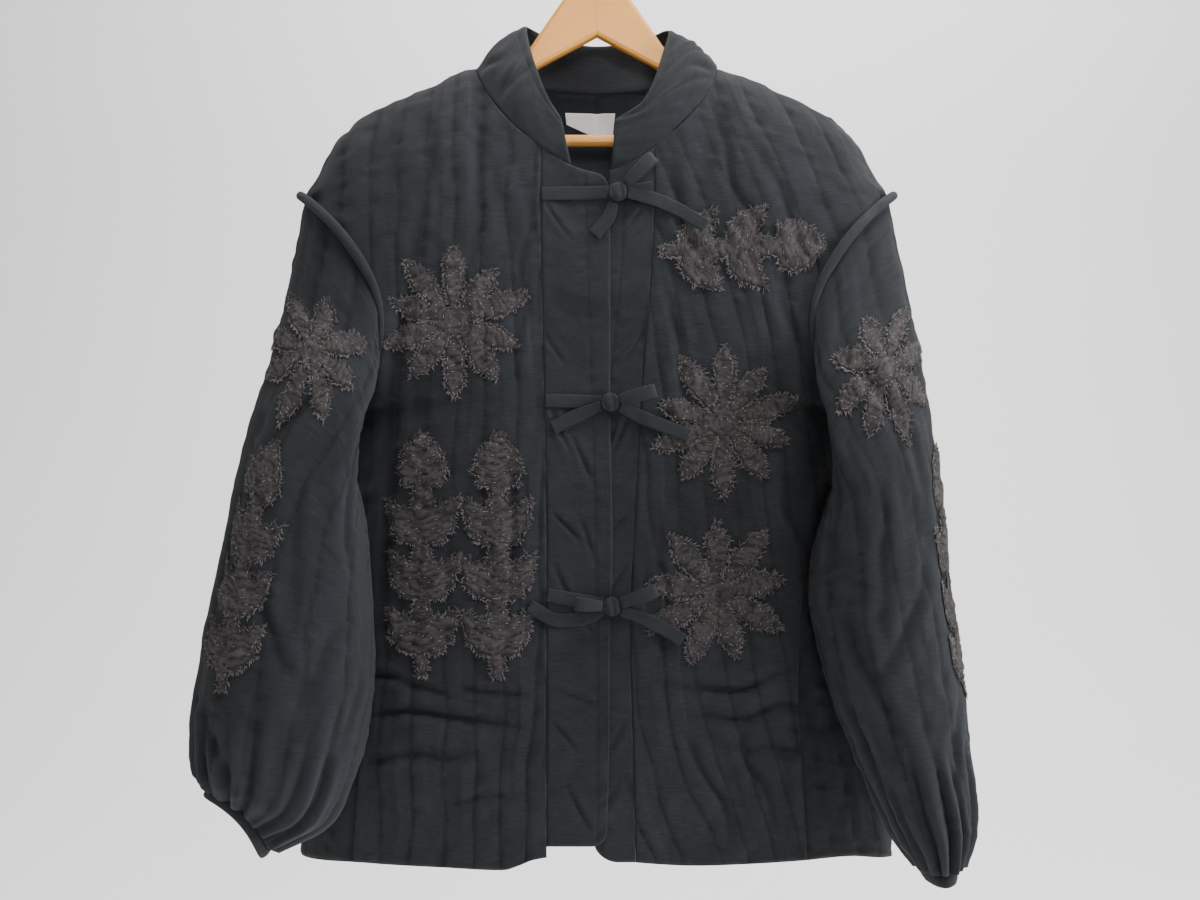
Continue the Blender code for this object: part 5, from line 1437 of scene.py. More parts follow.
def make_patch(name, panel, outline, layout, kind, seed):
    outline = cut_unevenly(np.asarray(outline), 1.5, seed)
    low, high = outline.min(axis=0), outline.max(axis=0)
    net = np.stack(np.meshgrid(np.arange(low[0], high[0], PATCH_NET), np.arange(low[1], high[1], PATCH_NET)), -1)
    net = net.reshape(-1, 2) + np.random.default_rng(seed).uniform(-0.5, 0.5, (net.size // 2, 2))
    net = net[outline_distance(net, outline) > 1.0]
    area = (outline[:, 0] * np.roll(outline[:, 1], -1) - outline[:, 1] * np.roll(outline[:, 0], -1)).sum()
    if area < 0:
        outline = outline[::-1]
    flat = np.concatenate([outline, net])
    rim = [(i, (i + 1) % len(outline)) for i in range(len(outline))]
    found = delaunay_2d_cdt([Vector(p) for p in flat], rim, [list(range(len(outline)))], 0, 1e-5)
    keep = [list(f) for f, owner in zip(found[2], found[5]) if owner]
    flat = np.array([tuple(p) for p in found[0]])
    used = sorted({i for f in keep for i in f})
    number = {old: new for new, old in enumerate(used)}
    keep = [[number[i] for i in f] for f in keep]
    flat = flat[used]
    u, v = flat_to_panel(flat, layout)
    r, c = spots(panel, u, v)
    ground, out = sample(panel, "outer", r, c), unit(sample(panel, "outward", r, c))
    depth = outline_distance(flat, outline)
    phase = stitch_rows(flat, kind, seed)
    gap = np.abs(phase - np.round(phase)) * 2
    uneven = 0.8 + 0.6 * noise(flat[:, 0], flat[:, 1], 9, 9, seed + 3)
    swell = 1.2 * uneven * np.sqrt(1 - (1 - gap) ** 2) + 0.75 * noise(flat[:, 0], flat[:, 1], 5, 4, seed + 2)
    swell = (swell + 0.25) * np.clip(depth / 2.2, 0, 1)
    top = ground + out * (0.15 + PATCH_THICK * (0.55 + 0.45 * np.clip(depth / 1.5, 0, 1)) + swell)[:, None]
    size = len(flat)
    faces = keep + [[i + size for i in reversed(f)] for f in keep]
    ends = {(a, b) for f in keep for a, b in zip(f, f[1:] + f[:1])}
    faces += [[b, a, a + size, b + size] for a, b in ends if (b, a) not in ends]
    points = np.concatenate([top, ground + out * 0.1])
    uv = np.concatenate([flat, flat])
    # The swell between stitch rows is painted paler (partly wear, partly painted light), and a mask on the rows is
    # painted darker: painted shade in their grooves.
    height = np.concatenate([swell, np.zeros(size)])
    seam = np.concatenate([np.exp(-((gap * ROW_GAP / 2 / 0.8) ** 2)), np.zeros(size)])
    made = mesh_object(name, points, faces, PATCH, uv, height, seam)
    lift = ((top - ground) * out).sum(axis=1)
    layout.update(outline=outline, kind=kind, panel=panel, seed=seed, object=made, flat=flat, lift=lift)
    tri = np.array([f for f in keep if len(f) == 3])
    a, b, c = (flat[tri[:, k]] for k in range(3))
    layout["area"] = np.abs(np.cross(b - a, c - a)).sum() / 2 * 1e-6
    print(f"{name}: {len(faces)} faces, {layout['area'] * 1e4:.0f} cm2")
    return layout


def on_front(sign, x, z, turn=0.0):
    c, s = math.cos(math.radians(turn)), math.sin(math.radians(turn))
    return {"u": sign * x, "v": -z, "across": np.array((sign * c, -sign * s)), "down": np.array((-s, -c))}


def on_sleeve(panel, column, row, sections_rows=SLEEVE_ROWS):
    """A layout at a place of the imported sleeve's grid, with true distances along and round it."""
    u, v = column / 32 * SLEEVE_AROUND, row / sections_rows * panel["v"][-1]
    r, c = spots(panel, [u, u + 5, u], [v, v, v + 5])
    here, beside, below = sample(panel, "base", r, c)
    wide, tall = np.linalg.norm(beside - here) / 5, np.linalg.norm(below - here) / 5
    way = 1.0 if beside[0] > here[0] else -1.0
    return {"u": u, "v": v, "across": np.array((way / wide, 0.0)), "down": np.array((0.0, -1 / tall))}


ROUND_REACH = (64, 56, 66, 58, 60, 64, 58, 62, 55, 66)
WIDE_REACH = (60, 66, 58, 64, 56, 62, 66, 57, 63)
SMALL_REACH = (52, 60, 50, 56, 60, 52, 58, 54)
patches = {}
for name, panel, layout, outline, kind in (
    ("flower_right", fronts["right"], on_front(-1, -117, -370), flower(ROUND_REACH, 8.8, 12, 1), "flower"),
    ("stem_right_a", fronts["right"], on_front(-1, -144, -661), leafy_stem(200, 3, 31, 6, 2), "stem"),
    ("stem_right_b", fronts["right"], on_front(-1, -81, -661), leafy_stem(200, 3, 30, 6, 3), "stem"),
    ("spray_left", fronts["left"], on_front(1, 52, -312, -88), leafy_stem(134, 2, 32, 6, 4), "stem"),
    ("flower_left_a", fronts["left"], on_front(1, 103, -452), flower(ROUND_REACH, 8.8, 12, 5), "flower"),
    ("flower_left_b", fronts["left"], on_front(1, 98, -592), flower(WIDE_REACH, 9.6, 12, 6), "flower"),
    ("flower_sleeve_right", sleeves["right"], on_sleeve(sleeves["right"], 3.84, 3.2), flower(SMALL_REACH, 9.4, 11, 7), "flower"),
    ("stem_sleeve_right", sleeves["right"], on_sleeve(sleeves["right"], 4.48, 11.2), leafy_stem(190, 3, 28, 5.5, 8), "stem"),
    ("flower_sleeve_left", sleeves["left"], on_sleeve(sleeves["left"], 4.16, 3.4), flower(SMALL_REACH, 9.4, 11, 9), "flower"),
    ("stem_sleeve_left", sleeves["left"], on_sleeve(sleeves["left"], 0.96, 10.6), leafy_stem(170, 3, 27, 5.5, 10), "stem"),
):
    patches[name] = make_patch(f"cloth_{name}", panel, outline, layout, kind, 200 + len(patches))


# %% [markdown]
# Stitches repeat by the thousand, so Geometry Nodes sets them. The script lays out one point for
# each stitch, with the way the thread runs and the way the cloth faces, and the tree puts a small
# rounded stitch on each point, turned and sized. Frayed threads are done the same way with a short
# bent thread.

# %% Geometry Nodes for stitches and frayed threads
def sew_tree(name, frayed):
    tree = bpy.data.node_groups.new(name, "GeometryNodeTree")
    face = tree.interface
    face.new_socket("Geometry", in_out="OUTPUT", socket_type="NodeSocketGeometry")
    face.new_socket("Geometry", in_out="INPUT", socket_type="NodeSocketGeometry")
    for title in ("Length", "Thickness", "Unevenness"):
        face.new_socket(title, in_out="INPUT", socket_type="NodeSocketFloat")
    face.new_socket("Thread", in_out="INPUT", socket_type="NodeSocketMaterial")
    given = node(tree, "NodeGroupInput").outputs

    def field(title, kind="FLOAT_VECTOR"):
        return node(tree, "GeometryNodeInputNamedAttribute", {"Name": title}, data_type=kind).outputs["Attribute"]

    if frayed:
        ends = {"Start": (0, 0, 0), "Middle": (0.6, 2.4, 1.2), "End": (1.0, -1.0, 3.4), "Resolution": 4}
        line = node(tree, "GeometryNodeCurveQuadraticBezier", ends).outputs[0]
        thin = node(tree, "GeometryNodeCurvePrimitiveCircle", {"Resolution": 3, "Radius": 0.5}).outputs[0]
        profile = node(tree, "GeometryNodeTransform", {"Geometry": thin, "Scale": (1, 1, 1)}).outputs[0]
        shape = node(tree, "GeometryNodeCurveToMesh", {"Curve": line, "Profile Curve": profile, "Fill Caps": True})
        shape = shape.outputs[0]
    else:
        ball = {"Segments": 5, "Rings": 3, "Radius": 0.5}
        shape = node(tree, "GeometryNodeMeshUVSphere", ball).outputs[0]
        shape = node(tree, "GeometryNodeTransform", {"Geometry": shape, "Rotation": (0, math.pi / 2, 0)}).outputs[0]
    turn = node(tree, "FunctionNodeAlignRotationToVector", {"Vector": field("along")}, axis="X")
    turn = node(tree, "FunctionNodeAlignRotationToVector",
                {"Rotation": turn.outputs[0], "Vector": field("up")}, axis="Z", pivot_axis="X").outputs[0]
    low = node(tree, "ShaderNodeMath", {0: 1.0, 1: given["Unevenness"]}, operation="SUBTRACT").outputs[0]
    high = node(tree, "ShaderNodeMath", {0: 1.0, 1: given["Unevenness"]}, operation="ADD").outputs[0]
    random = node(tree, "FunctionNodeRandomValue", data_type="FLOAT")
    for title, value in (("Min", low), ("Max", high), ("Seed", 7)):
        slot = [s for s in random.inputs if s.name == title and s.enabled][0]
        if title == "Seed":
            slot.default_value = value
        else:
            tree.links.new(value, slot)
    chance = [o for o in random.outputs if o.enabled][0]
    longer = maths_in(tree, given["Length"], chance)
    girth = given["Thickness"]
    size = node(tree, "ShaderNodeCombineXYZ", {0: longer, 1: girth, 2: girth}).outputs[0]
    setting = {"Points": given["Geometry"], "Instance": shape, "Rotation": turn, "Scale": size}
    set_out = node(tree, "GeometryNodeInstanceOnPoints", setting).outputs[0]
    real = node(tree, "GeometryNodeRealizeInstances", {"Geometry": set_out}).outputs[0]
    finish = {"Geometry": real, "Material": given["Thread"]}
    done = node(tree, "GeometryNodeSetMaterial", finish).outputs[0]
    tree.links.new(done, node(tree, "NodeGroupOutput").inputs[0])
    return tree


def maths_in(tree, a, b):
    return node(tree, "ShaderNodeMath", {0: a, 1: b}, operation="MULTIPLY").outputs[0]


STITCH_TREE = sew_tree("stitches_on_points", False)
FRAY_TREE = sew_tree("threads_on_points", True)


def sew(name, points, along, up, tree, length, thickness, unevenness, material):
    """Runs a tree on points in millimetres and keeps the result as a plain mesh."""
    mesh = bpy.data.meshes.new(name)
    mesh.from_pydata((np.asarray(points) * MM).tolist(), [], [])
    for title, values in (("along", along), ("up", up)):
        layer = mesh.attributes.new(title, "FLOAT_VECTOR", "POINT")
        layer.data.foreach_set("vector", np.asarray(values, float).ravel())
    source = add_object(name, mesh)
    modifier = source.modifiers.new("sewing", "NODES")
    modifier.node_group = tree
    values = {"Length": length * MM, "Thickness": thickness * MM, "Unevenness": unevenness, "Thread": material}
    for item in tree.interface.items_tree:
        if item.in_out == "INPUT" and item.name in values:
            modifier[item.identifier] = values[item.name]
    evaluated = source.evaluated_get(bpy.context.evaluated_depsgraph_get())
    result = bpy.data.meshes.new_from_object(evaluated)
    source.modifiers.remove(modifier)
    source.data = result
    result.shade_smooth()
    print(f"{name}: {len(points)} stitches, {len(result.polygons)} faces")
    return source


# %% [markdown]
# A line of stitches is a path on a panel. The path is walked in steps of the stitch's pitch, and
# each stitch lies a little above the cloth it holds down.

# %% Stitch lines on panels
def walk_line(panel, u, v, pitch, height, field="outer"):
    """Places for stitches along a line given across and down a panel, with their directions."""
    r, c = spots(panel, u, v)
    line, out = sample(panel, field, r, c), unit(sample(panel, "outward", r, c))
    walk = np.concatenate([[0], np.cumsum(np.linalg.norm(np.diff(line, axis=0), axis=1))])
    at = np.arange(pitch / 2, walk[-1], pitch)
    if len(at) < 2:
        return np.empty((0, 3)), np.empty((0, 3)), np.empty((0, 3))
    spot = np.stack([np.interp(at, walk, line[:, k]) for k in range(3)], axis=1)
    ahead = np.stack([np.interp(at + 0.8, walk, line[:, k]) for k in range(3)], axis=1)
    behind = np.stack([np.interp(at - 0.8, walk, line[:, k]) for k in range(3)], axis=1)
    up = unit(np.stack([np.interp(at, walk, out[:, k]) for k in range(3)], axis=1))
    return spot + up * height, unit(ahead - behind), up


def quilt_lines(panel, step=4.0):
    """The stitched lines of a panel's quilting, as places across and down it."""
    rule = panel["rule"]
    v = np.arange(panel["v"][0] + 6, panel["v"][-1] - 4, step)
    low = np.array([np.interp(x, panel["v"], panel["u"].min(axis=1)) for x in v])
    high = np.array([np.interp(x, panel["v"], panel["u"].max(axis=1)) for x in v])
    counts = rule["count"](panel["u"], panel["v"][:, None])
    lines = []
    for k in range(math.ceil(counts.min()), math.floor(counts.max()) + 1):
        u = np.full(len(v), (low + high).mean() / 2)
        for _ in range(12):
            u = u + (k - rule["count"](u, v)) * rule["spacing"] * 0.8
        inside = (u > low + 3) & (u < high - 3)
        for run in np.split(np.arange(len(v)), np.where(np.diff(inside.astype(int)))[0] + 1):
            if inside[run[0]] and len(run) > 4:
                lines.append((u[run], v[run]))
    return lines


def gather(parts):
    return [np.concatenate([part[k] for part in parts]) for k in range(3)]


sewn = {}
for title, panel in (("front_right", fronts["right"]), ("front_left", fronts["left"]), ("back", back),
                     ("sleeve_right", sleeves["right"]), ("sleeve_left", sleeves["left"])):
    parts = [walk_line(panel, u, v, 6.5, 0.05) for u, v in quilt_lines(panel)]
    sewn[title] = sew(f"quilting_thread_{title}", *gather(parts), STITCH_TREE, 3.4, 0.42, 0.25, DARK_THREAD)


# %% [markdown]
# Topstitching is shorter and closer, and keeps a steady distance from its edge: a row above the
# hem, two down the wide band, one by the collar's edge, and one beside each band's seam.

# %% Topstitching
def straight(panel, u0, v0, u1, v1, pitch=3.0, height=0.08, count=160):
    return walk_line(panel, np.linspace(u0, u1, count), np.linspace(v0, v1, count), pitch, height)


def along_row(panel, v, trim=2.0, pitch=3.0):
    low = np.interp(v, panel["v"], panel["u"].min(axis=1))
    high = np.interp(v, panel["v"], panel["u"].max(axis=1))
    return straight(panel, low + trim, v, high - trim, v, pitch, count=300)


def along_edge(panel, inset, side, v0=None, v1=None, count=220):
    v = np.linspace(panel["v"][0] + 3 if v0 is None else v0, panel["v"][-1] - 3 if v1 is None else v1, count)
    edge = panel["u"].max(axis=1) if side > 0 else panel["u"].min(axis=1)
    return walk_line(panel, np.interp(v, panel["v"], edge) - side * inset, v, 3.0, 0.08)


HEM_STITCH = 8.0
top_parts = {
    "front_right": [along_row(fronts["right"], fronts["right"]["v"][-1] - HEM_STITCH),
                    along_edge(fronts["right"], 1.6, -1, 235)],
    "front_left": [along_row(fronts["left"], fronts["left"]["v"][-1] - HEM_STITCH),
                   along_edge(fronts["left"], 1.6, -1, 235)],
    "back": [along_row(back, back["v"][-1] - HEM_STITCH), along_edge(back, 1.8, -1, 450),
             along_edge(back, 1.8, 1, 450)],
    "band_right": [along_edge(bands["right"], 8.0, 1), along_edge(bands["right"], 1.8, 1),
                   along_row(bands["right"], bands["right"]["v"][-1] - 8, 8)],
    "band_left": [along_edge(bands["left"], 6.0, 1), along_row(bands["left"], bands["left"]["v"][-1] - 7, 6)],
    "collar": [along_row(collar_panel, 5.5, 3)],
    "sleeve_right": [straight(sleeves["right"], 172 + d, 40, 172 + d, 440, 3.0) for d in (-3.2, 3.2)],
    "sleeve_left": [straight(sleeves["left"], 172 + d, 40, 172 + d, 440, 3.0) for d in (-3.2, 3.2)],
}
for title, parts in top_parts.items():
    name = f"topstitch_{title}"
    sewn[name] = sew(name, *gather(parts), STITCH_TREE, 2.2, 0.4, 0.12, DARK_THREAD)


# %% [markdown]
# The patches are held by dense running stitches, some in the dark thread and some in a greyer one.
# One row follows the outline just inside it, and the rest lie in the rows that already draw the
# patch in. Then the raw edge is frayed with loose threads that point outwards at all angles.

# %% Stitches and frayed edges of the patches
def on_patch(layout, flat, along, height):
    panel = layout["panel"]
    r, c = spots(panel, *flat_to_panel(flat, layout))
    ra, ca = spots(panel, *flat_to_panel(flat + along * 1.2, layout))
    here, ahead = sample(panel, "outer", r, c), sample(panel, "outer", ra, ca)
    up = unit(sample(panel, "outward", r, c))
    return here + up * height, unit(ahead - here), up


for title, layout in patches.items():
    chance = np.random.default_rng(layout["seed"] + 50)
    outline = layout["outline"]
    if layout["kind"] == "flower":
        tangent = unit(np.roll(outline, -3, axis=0) - np.roll(outline, 3, axis=0))
    else:
        tangent = unit(np.roll(outline, -2, axis=0) - np.roll(outline, 2, axis=0))
    inward = np.stack([-tangent[:, 1], tangent[:, 0]], axis=1)
    if (outline_distance(outline[::9] + inward[::9] * 0.5, outline) > 0).mean() < 0.5:
        inward = -inward
    inset = (outline + inward * 2.2)[::3]
    held = outline_distance(inset, outline) > 1.3
    edge = (inset[held], tangent[::3][held])
    net = np.stack(np.meshgrid(np.arange(-80, 82, 1.2), np.arange(-80, 215, 1.2)), -1).reshape(-1, 2)
    net += chance.uniform(-0.5, 0.5, net.shape)
    phase = stitch_rows(net, layout["kind"], layout["seed"])
    near = np.abs(phase - np.round(phase)) * ROW_GAP < 0.4
    net = net[near]
    net = net[outline_distance(net, outline) > 3.0]
    order = chance.permutation(len(net))
    kept, cells = [], set()
    for i in order:
        cell = (round(net[i, 0] / 4.4), round(net[i, 1] / 4.0))
        if cell not in cells:
            cells.add(cell)
            kept.append(i)
    fill = net[kept]
    step = 0.6
    rise = [stitch_rows(fill + np.array(d), layout["kind"], layout["seed"]) for d in ((step, 0), (0, step))]
    here = stitch_rows(fill, layout["kind"], layout["seed"])
    slope = unit(np.stack([rise[0] - here, rise[1] - here], axis=1))
    run = np.stack([-slope[:, 1], slope[:, 0]], axis=1)
    spots_flat, ways = np.concatenate([edge[0], fill]), np.concatenate([edge[1], run])
    nearest = [np.argmin(((layout["flat"] - p) ** 2).sum(axis=1)) for p in spots_flat]
    points, along, up = on_patch(layout, spots_flat, ways, layout["lift"][nearest][:, None] + 0.08)
    dark = chance.random(len(points)) < 0.62
    made = [sew(f"running_stitch_dark_{title}", points[dark], along[dark], up[dark], STITCH_TREE,
                3.3, 0.75, 0.3, DARK_THREAD),
            sew(f"running_stitch_grey_{title}", points[~dark], along[~dark], up[~dark], STITCH_TREE,
                2.6, 0.7, 0.3, GREY_THREAD)]
    lots = np.concatenate([outline] * 2) + chance.uniform(-0.5, 0.5, (2 * len(outline), 2))
    away = np.concatenate([-inward] * 2)
    turn = chance.uniform(-1.2, 1.2, len(lots))
    away = np.stack([away[:, 0] * np.cos(turn) - away[:, 1] * np.sin(turn),
                     away[:, 0] * np.sin(turn) + away[:, 1] * np.cos(turn)], axis=1)
    keep = chance.random(len(lots)) < 0.75
    points, along, up = on_patch(layout, lots[keep] - away[keep] * 1.0, away[keep], 0.85)
    made.append(sew(f"frayed_edge_{title}", points, along, up, FRAY_TREE, 2.6, 0.26, 0.6, FRAY_THREAD))
    layout["threads"] = made


# %% [markdown]
# The ties are narrow tapes, folded in and sewn, tied in bows. Each run of tape is a strip with
# rounded edges along the same path as its imported piece. A knot is tape wound round itself, so it
# gets a band's ridges.

# %% The ties
TAPE_SIDES = 12


def tape(name, path, widths, wall, across_hint=None, steps=41, ripple=0.9, seed=0):
    at = np.linspace(0, len(path) - 1, steps)
    path = smooth(np.arange(len(path)), np.asarray(path, float), at)
    widths = np.interp(at, np.arange(len(widths)), widths)
    along = unit(np.gradient(path, axis=0))
    if across_hint is None:
        across = unit(np.cross(along, np.array((0.0, -1.0, 0.0))))
    else:
        hint = np.asarray(across_hint)
        across = unit(hint - along * (along @ hint)[:, None])
    thick = unit(np.cross(across, along))
    walk = np.concatenate([[0], np.cumsum(np.linalg.norm(np.diff(path, axis=0), axis=1))])
    turn = 2 * np.pi * np.arange(TAPE_SIDES) / TAPE_SIDES
    side = np.sign(np.cos(turn)) * np.abs(np.cos(turn)) ** 0.45
    deep = np.sign(np.sin(turn)) * np.abs(np.sin(turn)) ** 0.8
    wave = ripple * noise(walk[:, None], side[None] * 4, 7, 4, seed)
    rows = (path[:, None] + across[:, None] * (side[None] * widths[:, None] / 2)[..., None]
            + thick[:, None] * (deep[None] * wall / 2 * (1 + 0.35 * np.abs(side))[None] + 0.35 * wave)[..., None])
    count = len(path)
    index = np.arange(count * TAPE_SIDES).reshape(count, TAPE_SIDES)
    index = np.concatenate([index, index[:, :1]], axis=1)
    faces = np.stack([index[:-1, :-1], index[1:, :-1], index[1:, 1:], index[:-1, 1:]], axis=-1)
    faces = faces.reshape(-1, 4).tolist()
    faces += [index[0, :-1].tolist(), index[-1, :-1][::-1].tolist()]
    uv = np.stack([np.repeat(walk[:, None], TAPE_SIDES, axis=1), side[None] * widths[:, None] / 2], axis=-1)
    # The folded edges get a higher height, so the material paints them paler: a painted highlight along the tape's
    # edges.
    edge = np.repeat((0.4 + 1.2 * np.abs(side) ** 6)[None], count, axis=0)
    return mesh_object(name, rows.reshape(-1, 3), faces, TAPE, uv.reshape(-1, 2), edge.ravel())


def on_fronts(x, z, lift):
    past = x > float(smooth(BANDS["z"], BANDS["right_edge"], z))
    point, normal = panel_frame(x, z, -1, layer=past)
    return point + normal * lift


def knot_swell(share):
    return math.sqrt(max(0.0, 1 - (0.72 * share) ** 2))


def knot_edge(direction, width):
    direction = unit(direction)
    half = [(knot_swell(s) * KNOT_WIDTH / 2, KNOT_HEIGHT / 2 * s) for s in np.linspace(-1, 1, KNOT_RINGS + 1)]
    corners = half + [(-x, z) for x, z in reversed(half)]
    outline = []
    for p, q in zip(corners, corners[1:] + corners[:1]):
        outline += [(mix(p[0], q[0], k / 12), mix(p[1], q[1], k / 12)) for k in range(12)]
    outline = np.array(outline)
    beside = np.abs(outline @ np.array((-direction[1], direction[0]))) <= width / 2
    return (outline[beside] @ direction).max() + FIT


def knot(name, middle, seed):
    rings, sides = 19, 28
    points = []
    for i in range(rings):
        share = 2 * i / (rings - 1) - 1
        swell = 0.97 * (1 - 0.92 * abs(share) ** 5) * knot_swell(share)
        for s in range(sides):
            angle = 2 * math.pi * s / sides
            wound = math.cos(2.4 * math.pi * math.cos(angle) + 1.5 * share + 0.6 * seed)
            ridge = 1 + 0.24 * wound + 0.04 * math.sin(5 * angle + seed)
            across, deep = math.cos(angle), math.sin(angle)
            across = math.copysign(abs(across) ** 0.7, across) * KNOT_WIDTH / 2
            deep = math.copysign(abs(deep) ** 0.5, deep) * KNOT_DEPTH / 2
            reach = (across * swell, deep * ridge * swell, KNOT_HEIGHT / 2 * share)
            points.append(middle + np.array(reach))
    faces = []
    for i in range(rings - 1):
        for s in range(sides):
            t = (s + 1) % sides
            faces.append([i * sides + s, i * sides + t, (i + 1) * sides + t, (i + 1) * sides + s])
    faces.append(list(range(sides))[::-1])
    faces.append(list(range((rings - 1) * sides, rings * sides)))
    points = np.array(points)
    angle = np.tile(np.arange(sides) * KNOT_WIDTH * math.pi / sides, rings)
    uv = np.stack([angle, points[:, 2]], axis=1)
    return mesh_object(name, points, faces, TAPE, uv, np.full(len(points), 0.7))


ties = {}
for number, bow in enumerate(BOWS, 1):
    kx, kz = bow["knot"]
    middle = panel_frame(kx, kz, -1)[0] + np.array((0, -KNOT_LIFT, 0))
    flat = middle[[0, 2]]
    ties[f"tie{number}_knot"] = knot(f"bow{number}_knot", middle, number)
    for word, shift, height in (("right", 1.0, bow["straps"][0]), ("left", -1.0, bow["straps"][1])):
        seam_x = float(smooth(BANDS["z"], BANDS[f"{word}_seam"], kz)) + shift
        end = flat + unit(np.array((seam_x, height)) - flat) * knot_edge(np.array((seam_x, height)) - flat, TIE_WIDTH)
        path = []
        for share in (0.0, 0.4, 0.75, 1.0):
            x, z = mix(seam_x, end[0], share), mix(height, end[1], share)
            path.append(on_fronts(x, z, 1.7) if share < 0.9 else np.array((x, middle[1] + TIE_LAYER, z)))
        ties[f"tie{number}_strap_{word}"] = tape(f"bow{number}_strap_{word}", path, [TIE_WIDTH] * 4, TIE_WALL, seed=number)
    for letter, tip in zip("ab", bow["loops"]):
        tip = np.array(tip, float)
        way = tip - flat
        start = flat + unit(way) * knot_edge(way, TIE_WIDTH)
        path = []
        for share, up in LOOP:
            x, z = mix(start, tip, share)
            path.append((x, middle[1] - TIE_LAYER - 8.0 * up, z))
        hint = unit((-way[1], 0.0, way[0]))
        widths = [TIE_WIDTH * k for k in (0.8, 0.95, 1, 1, 1, 1, 1, 0.9, 0.7)]
        ties[f"tie{number}_loop_{letter}"] = tape(f"bow{number}_loop_{letter}", path, widths, TIE_WALL, hint, 61, 0.4, 7 * number)
    for letter, places in zip("ab", bow["ends"]):
        way = np.array(places[0][:2]) - flat
        start = flat + unit(way) * (knot_edge(way, TIE_WIDTH) + 0.3)
        path = [np.array((start[0], middle[1], start[1]))]
        path += [on_fronts(x, z, lift) for x, z, lift in places]
        widths = [TIE_WIDTH * 0.72] + [TIE_WIDTH] * (len(path) - 1)
        ties[f"tie{number}_end_{letter}"] = tape(f"bow{number}_end_{letter}", path, widths, TIE_WALL, seed=20 + number)
print(len(ties), "pieces of tape")


# %% [markdown]
# A woven label is sewn in at the back of the neck, and it stays bare. It is a short white tape,
# a little curved.

# %% The neck label
def label_sheet():
    corners = ((-28, -178), (16, -178), (13, -206), (-27, -188))
    rows = []
    for down in np.linspace(0, 1, 15):
        row = []
        for over in np.linspace(0, 1, 25):
            top = mix(np.array(corners[0]), np.array(corners[1]), over)
            low = mix(np.array(corners[3]), np.array(corners[2]), over)
            x, z = mix(top, low, down)
            bow = 0.5 * math.sin(math.pi * over) * down + 0.25 * math.sin(9 * over + 4 * down)
            row.append((x, body_y(x, -180, 1) - WALL - 0.85 - bow, z))
        rows.append(row)
    return np.array(rows)


grid = label_sheet()
rows, columns = grid.shape[:2]
index = np.arange(rows * columns).reshape(rows, columns)
faces = np.stack([index[:-1, :-1], index[:-1, 1:], index[1:, 1:], index[1:, :-1]], axis=-1).reshape(-1, 4)
uv = grid[..., [0, 2]].reshape(-1, 2)
neck_label = mesh_object("blank_neck_label", grid.reshape(-1, 3), faces.tolist(),
                         cloth("white_label_tape", (0.70, 0.70, 0.68), (0.86, 0.86, 0.84), 0.5, 0.0, 0.35), uv,
                         np.full(rows * columns, 0.5))
thickness = neck_label.modifiers.new("thickness", "SOLIDIFY")
thickness.thickness = 0.5 * MM
thickness.offset = 0.0
print("label", columns, "by", rows, "points")


# %% [markdown]
# The hanger's wood and wire have the right shapes already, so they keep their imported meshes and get
# better finishes. The grain runs along each arm, so its pattern is mirrored at the middle, where the
# two halves are glued, and a thin darker line marks the joint.

# %% Wood and wire
def wood_material(name, slope):
    made, tree, shader = new_material(name)
    place = node(tree, "ShaderNodeTexCoord").outputs["Object"]
    split = node(tree, "ShaderNodeSeparateXYZ", {0: place}).outputs
    across = maths(tree, "ABSOLUTE", split[0])
    joined = node(tree, "ShaderNodeCombineXYZ", {0: across, 1: split[1], 2: split[2]}).outputs[0]
    turned = node(tree, "ShaderNodeMapping", {"Vector": joined, "Rotation": (0, -slope, 0)}).outputs[0]

    def grain(scale, detail, distortion=0.0):
        stretched = node(tree, "ShaderNodeMapping", {"Vector": turned, "Scale": scale}).outputs[0]
        seen = {"Vector": stretched, "Scale": 1.0, "Detail": detail, "Distortion": distortion}
        return node(tree, "ShaderNodeTexNoise", seen).outputs["Fac"]

    broad, fine = grain((9, 90, 110), 3.0, 0.5), grain((60, 900, 1100), 4.0)
    fleck = grain((170, 1500, 1700), 1.0)
    base = blend(tree, broad, (0.47, 0.180, 0.018, 1), (0.60, 0.270, 0.036, 1))
    ramp = node(tree, "ShaderNodeMapRange", {0: fleck, 1: 0.62, 2: 0.75, 3: 0.0, 4: 0.35}).outputs[0]
    base = blend(tree, ramp, base, (0.36, 0.20, 0.10, 1))
    base = blend(tree, maths(tree, "MULTIPLY", fine, 0.25), base, (0.69, 0.345, 0.065, 1))
    joint = maths(tree, "LESS_THAN", across, 0.00035)
    base = blend(tree, maths(tree, "MULTIPLY", joint, 0.6), base, (0.30, 0.17, 0.08, 1))
    tree.links.new(base, shader.inputs["Base Color"])
    shader.inputs["Roughness"].default_value = 0.42
    shader.inputs["Coat Weight"].default_value = 0.05
    shader.inputs["Coat Roughness"].default_value = 0.25
    bumped = {"Height": fine, "Strength": 0.2, "Distance": 0.0003}
    tree.links.new(node(tree, "ShaderNodeBump", bumped).outputs[0], shader.inputs["Normal"])
    return made


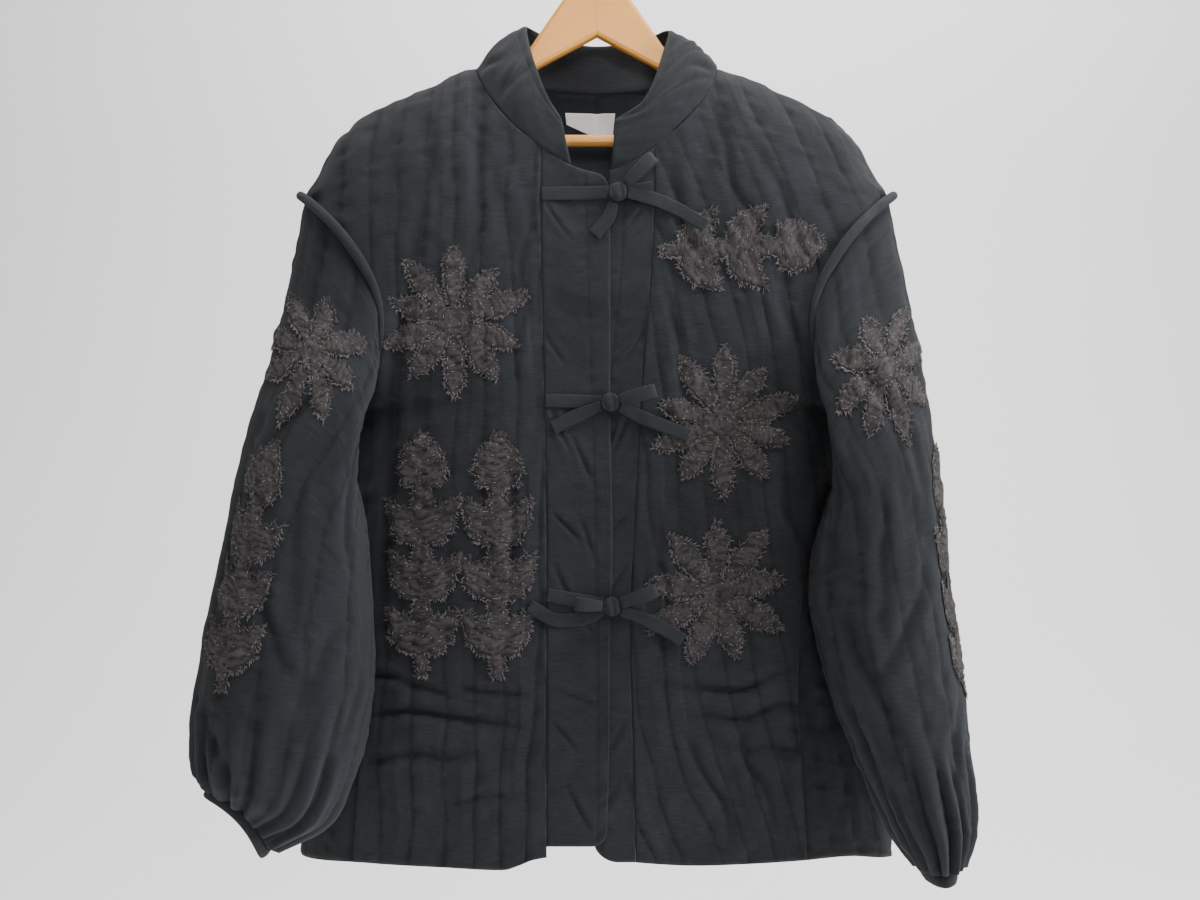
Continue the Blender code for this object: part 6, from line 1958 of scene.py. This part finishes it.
def wire_material():
    made, tree, shader = new_material("bright_wire")
    place = node(tree, "ShaderNodeTexCoord").outputs["Object"]
    drawn = node(tree, "ShaderNodeMapping", {"Vector": place, "Scale": (700, 700, 60)}).outputs[0]
    marks = node(tree, "ShaderNodeTexNoise", {"Vector": drawn, "Scale": 1.0, "Detail": 3.0}).outputs["Fac"]
    tree.links.new(blend(tree, marks, (0.52, 0.52, 0.53, 1), (0.70, 0.70, 0.71, 1)), shader.inputs["Base Color"])
    shader.inputs["Metallic"].default_value = 1.0
    rough = node(tree, "ShaderNodeMapRange", {0: marks, 3: 0.18, 4: 0.34}).outputs[0]
    tree.links.new(rough, shader.inputs["Roughness"])
    return made


nodes = frame["nodes"]
for name, material in (("hanger_wood", wood_material("arm_wood", math.radians(40))),
                       ("hanger_bar", wood_material("bar_wood", 0.0)),
                       ("hanger_hook", wire_material())):
    for place in nodes[name].material_slots:
        place.material = material
print("wood and wire on", "hanger_wood, hanger_bar, hanger_hook")


# %% [markdown]
# Last, every new piece rides on the one body and takes the place of its imported piece and of that
# piece's finish, which are hidden.

# %% What each piece stands for
def settle(made, slot, *replaced):
    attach(made, "root")
    if replaced:
        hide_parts(*replaced)
    return made


CUTS = {
    "front_right": ((0.22, 0.68), 0.106), "front_left": ((0.22, 0.68), 0.102),
    "back": ((0.70, 0.69), 0.357), "collar": ((0.54, 0.06), 0.022),
    "band_right": ((0.055, 0.60), 0.031), "band_left": ((0.04, 0.60), 0.021),
    "sleeve_right": ((0.36, 0.56), 0.14), "sleeve_left": ((0.36, 0.56), 0.14),
    "cuff_right": ((0.12, 0.02), 0.0022), "cuff_left": ((0.12, 0.02), 0.0022),
}
threads_of = {title: [] for title in CUTS}
for title, made in sewn.items():
    settle(made, "cloth")
    threads_of[title.replace("topstitch_", "")].append(made)
shells = {"front_right": fronts["right"], "front_left": fronts["left"], "back": back,
          "collar": collar_panel, "band_right": bands["right"], "band_left": bands["left"],
          "sleeve_right": sleeves["right"], "sleeve_left": sleeves["left"],
          "cuff_right": cuffs["right"], "cuff_left": cuffs["left"]}
for title, panel in shells.items():
    made = settle(panel["object"], "cloth", title)
    flat, area = CUTS[title]
    held = "gathered" if "sleeve" in title else "hung"
for title, layout in patches.items():
    made = settle(layout["object"], "applique", f"patch_{title}")
    for piece in layout["threads"]:
        settle(piece, "applique")
for name, made in ties.items():
    settle(made, "cloth", name)
for word, made in pipings.items():
    settle(made, "cloth", f"piping_{word}")
settle(neck_label, "label", "label")

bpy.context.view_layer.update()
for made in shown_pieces():
    if made.type == "MESH":
        made.data.calc_loop_triangles()
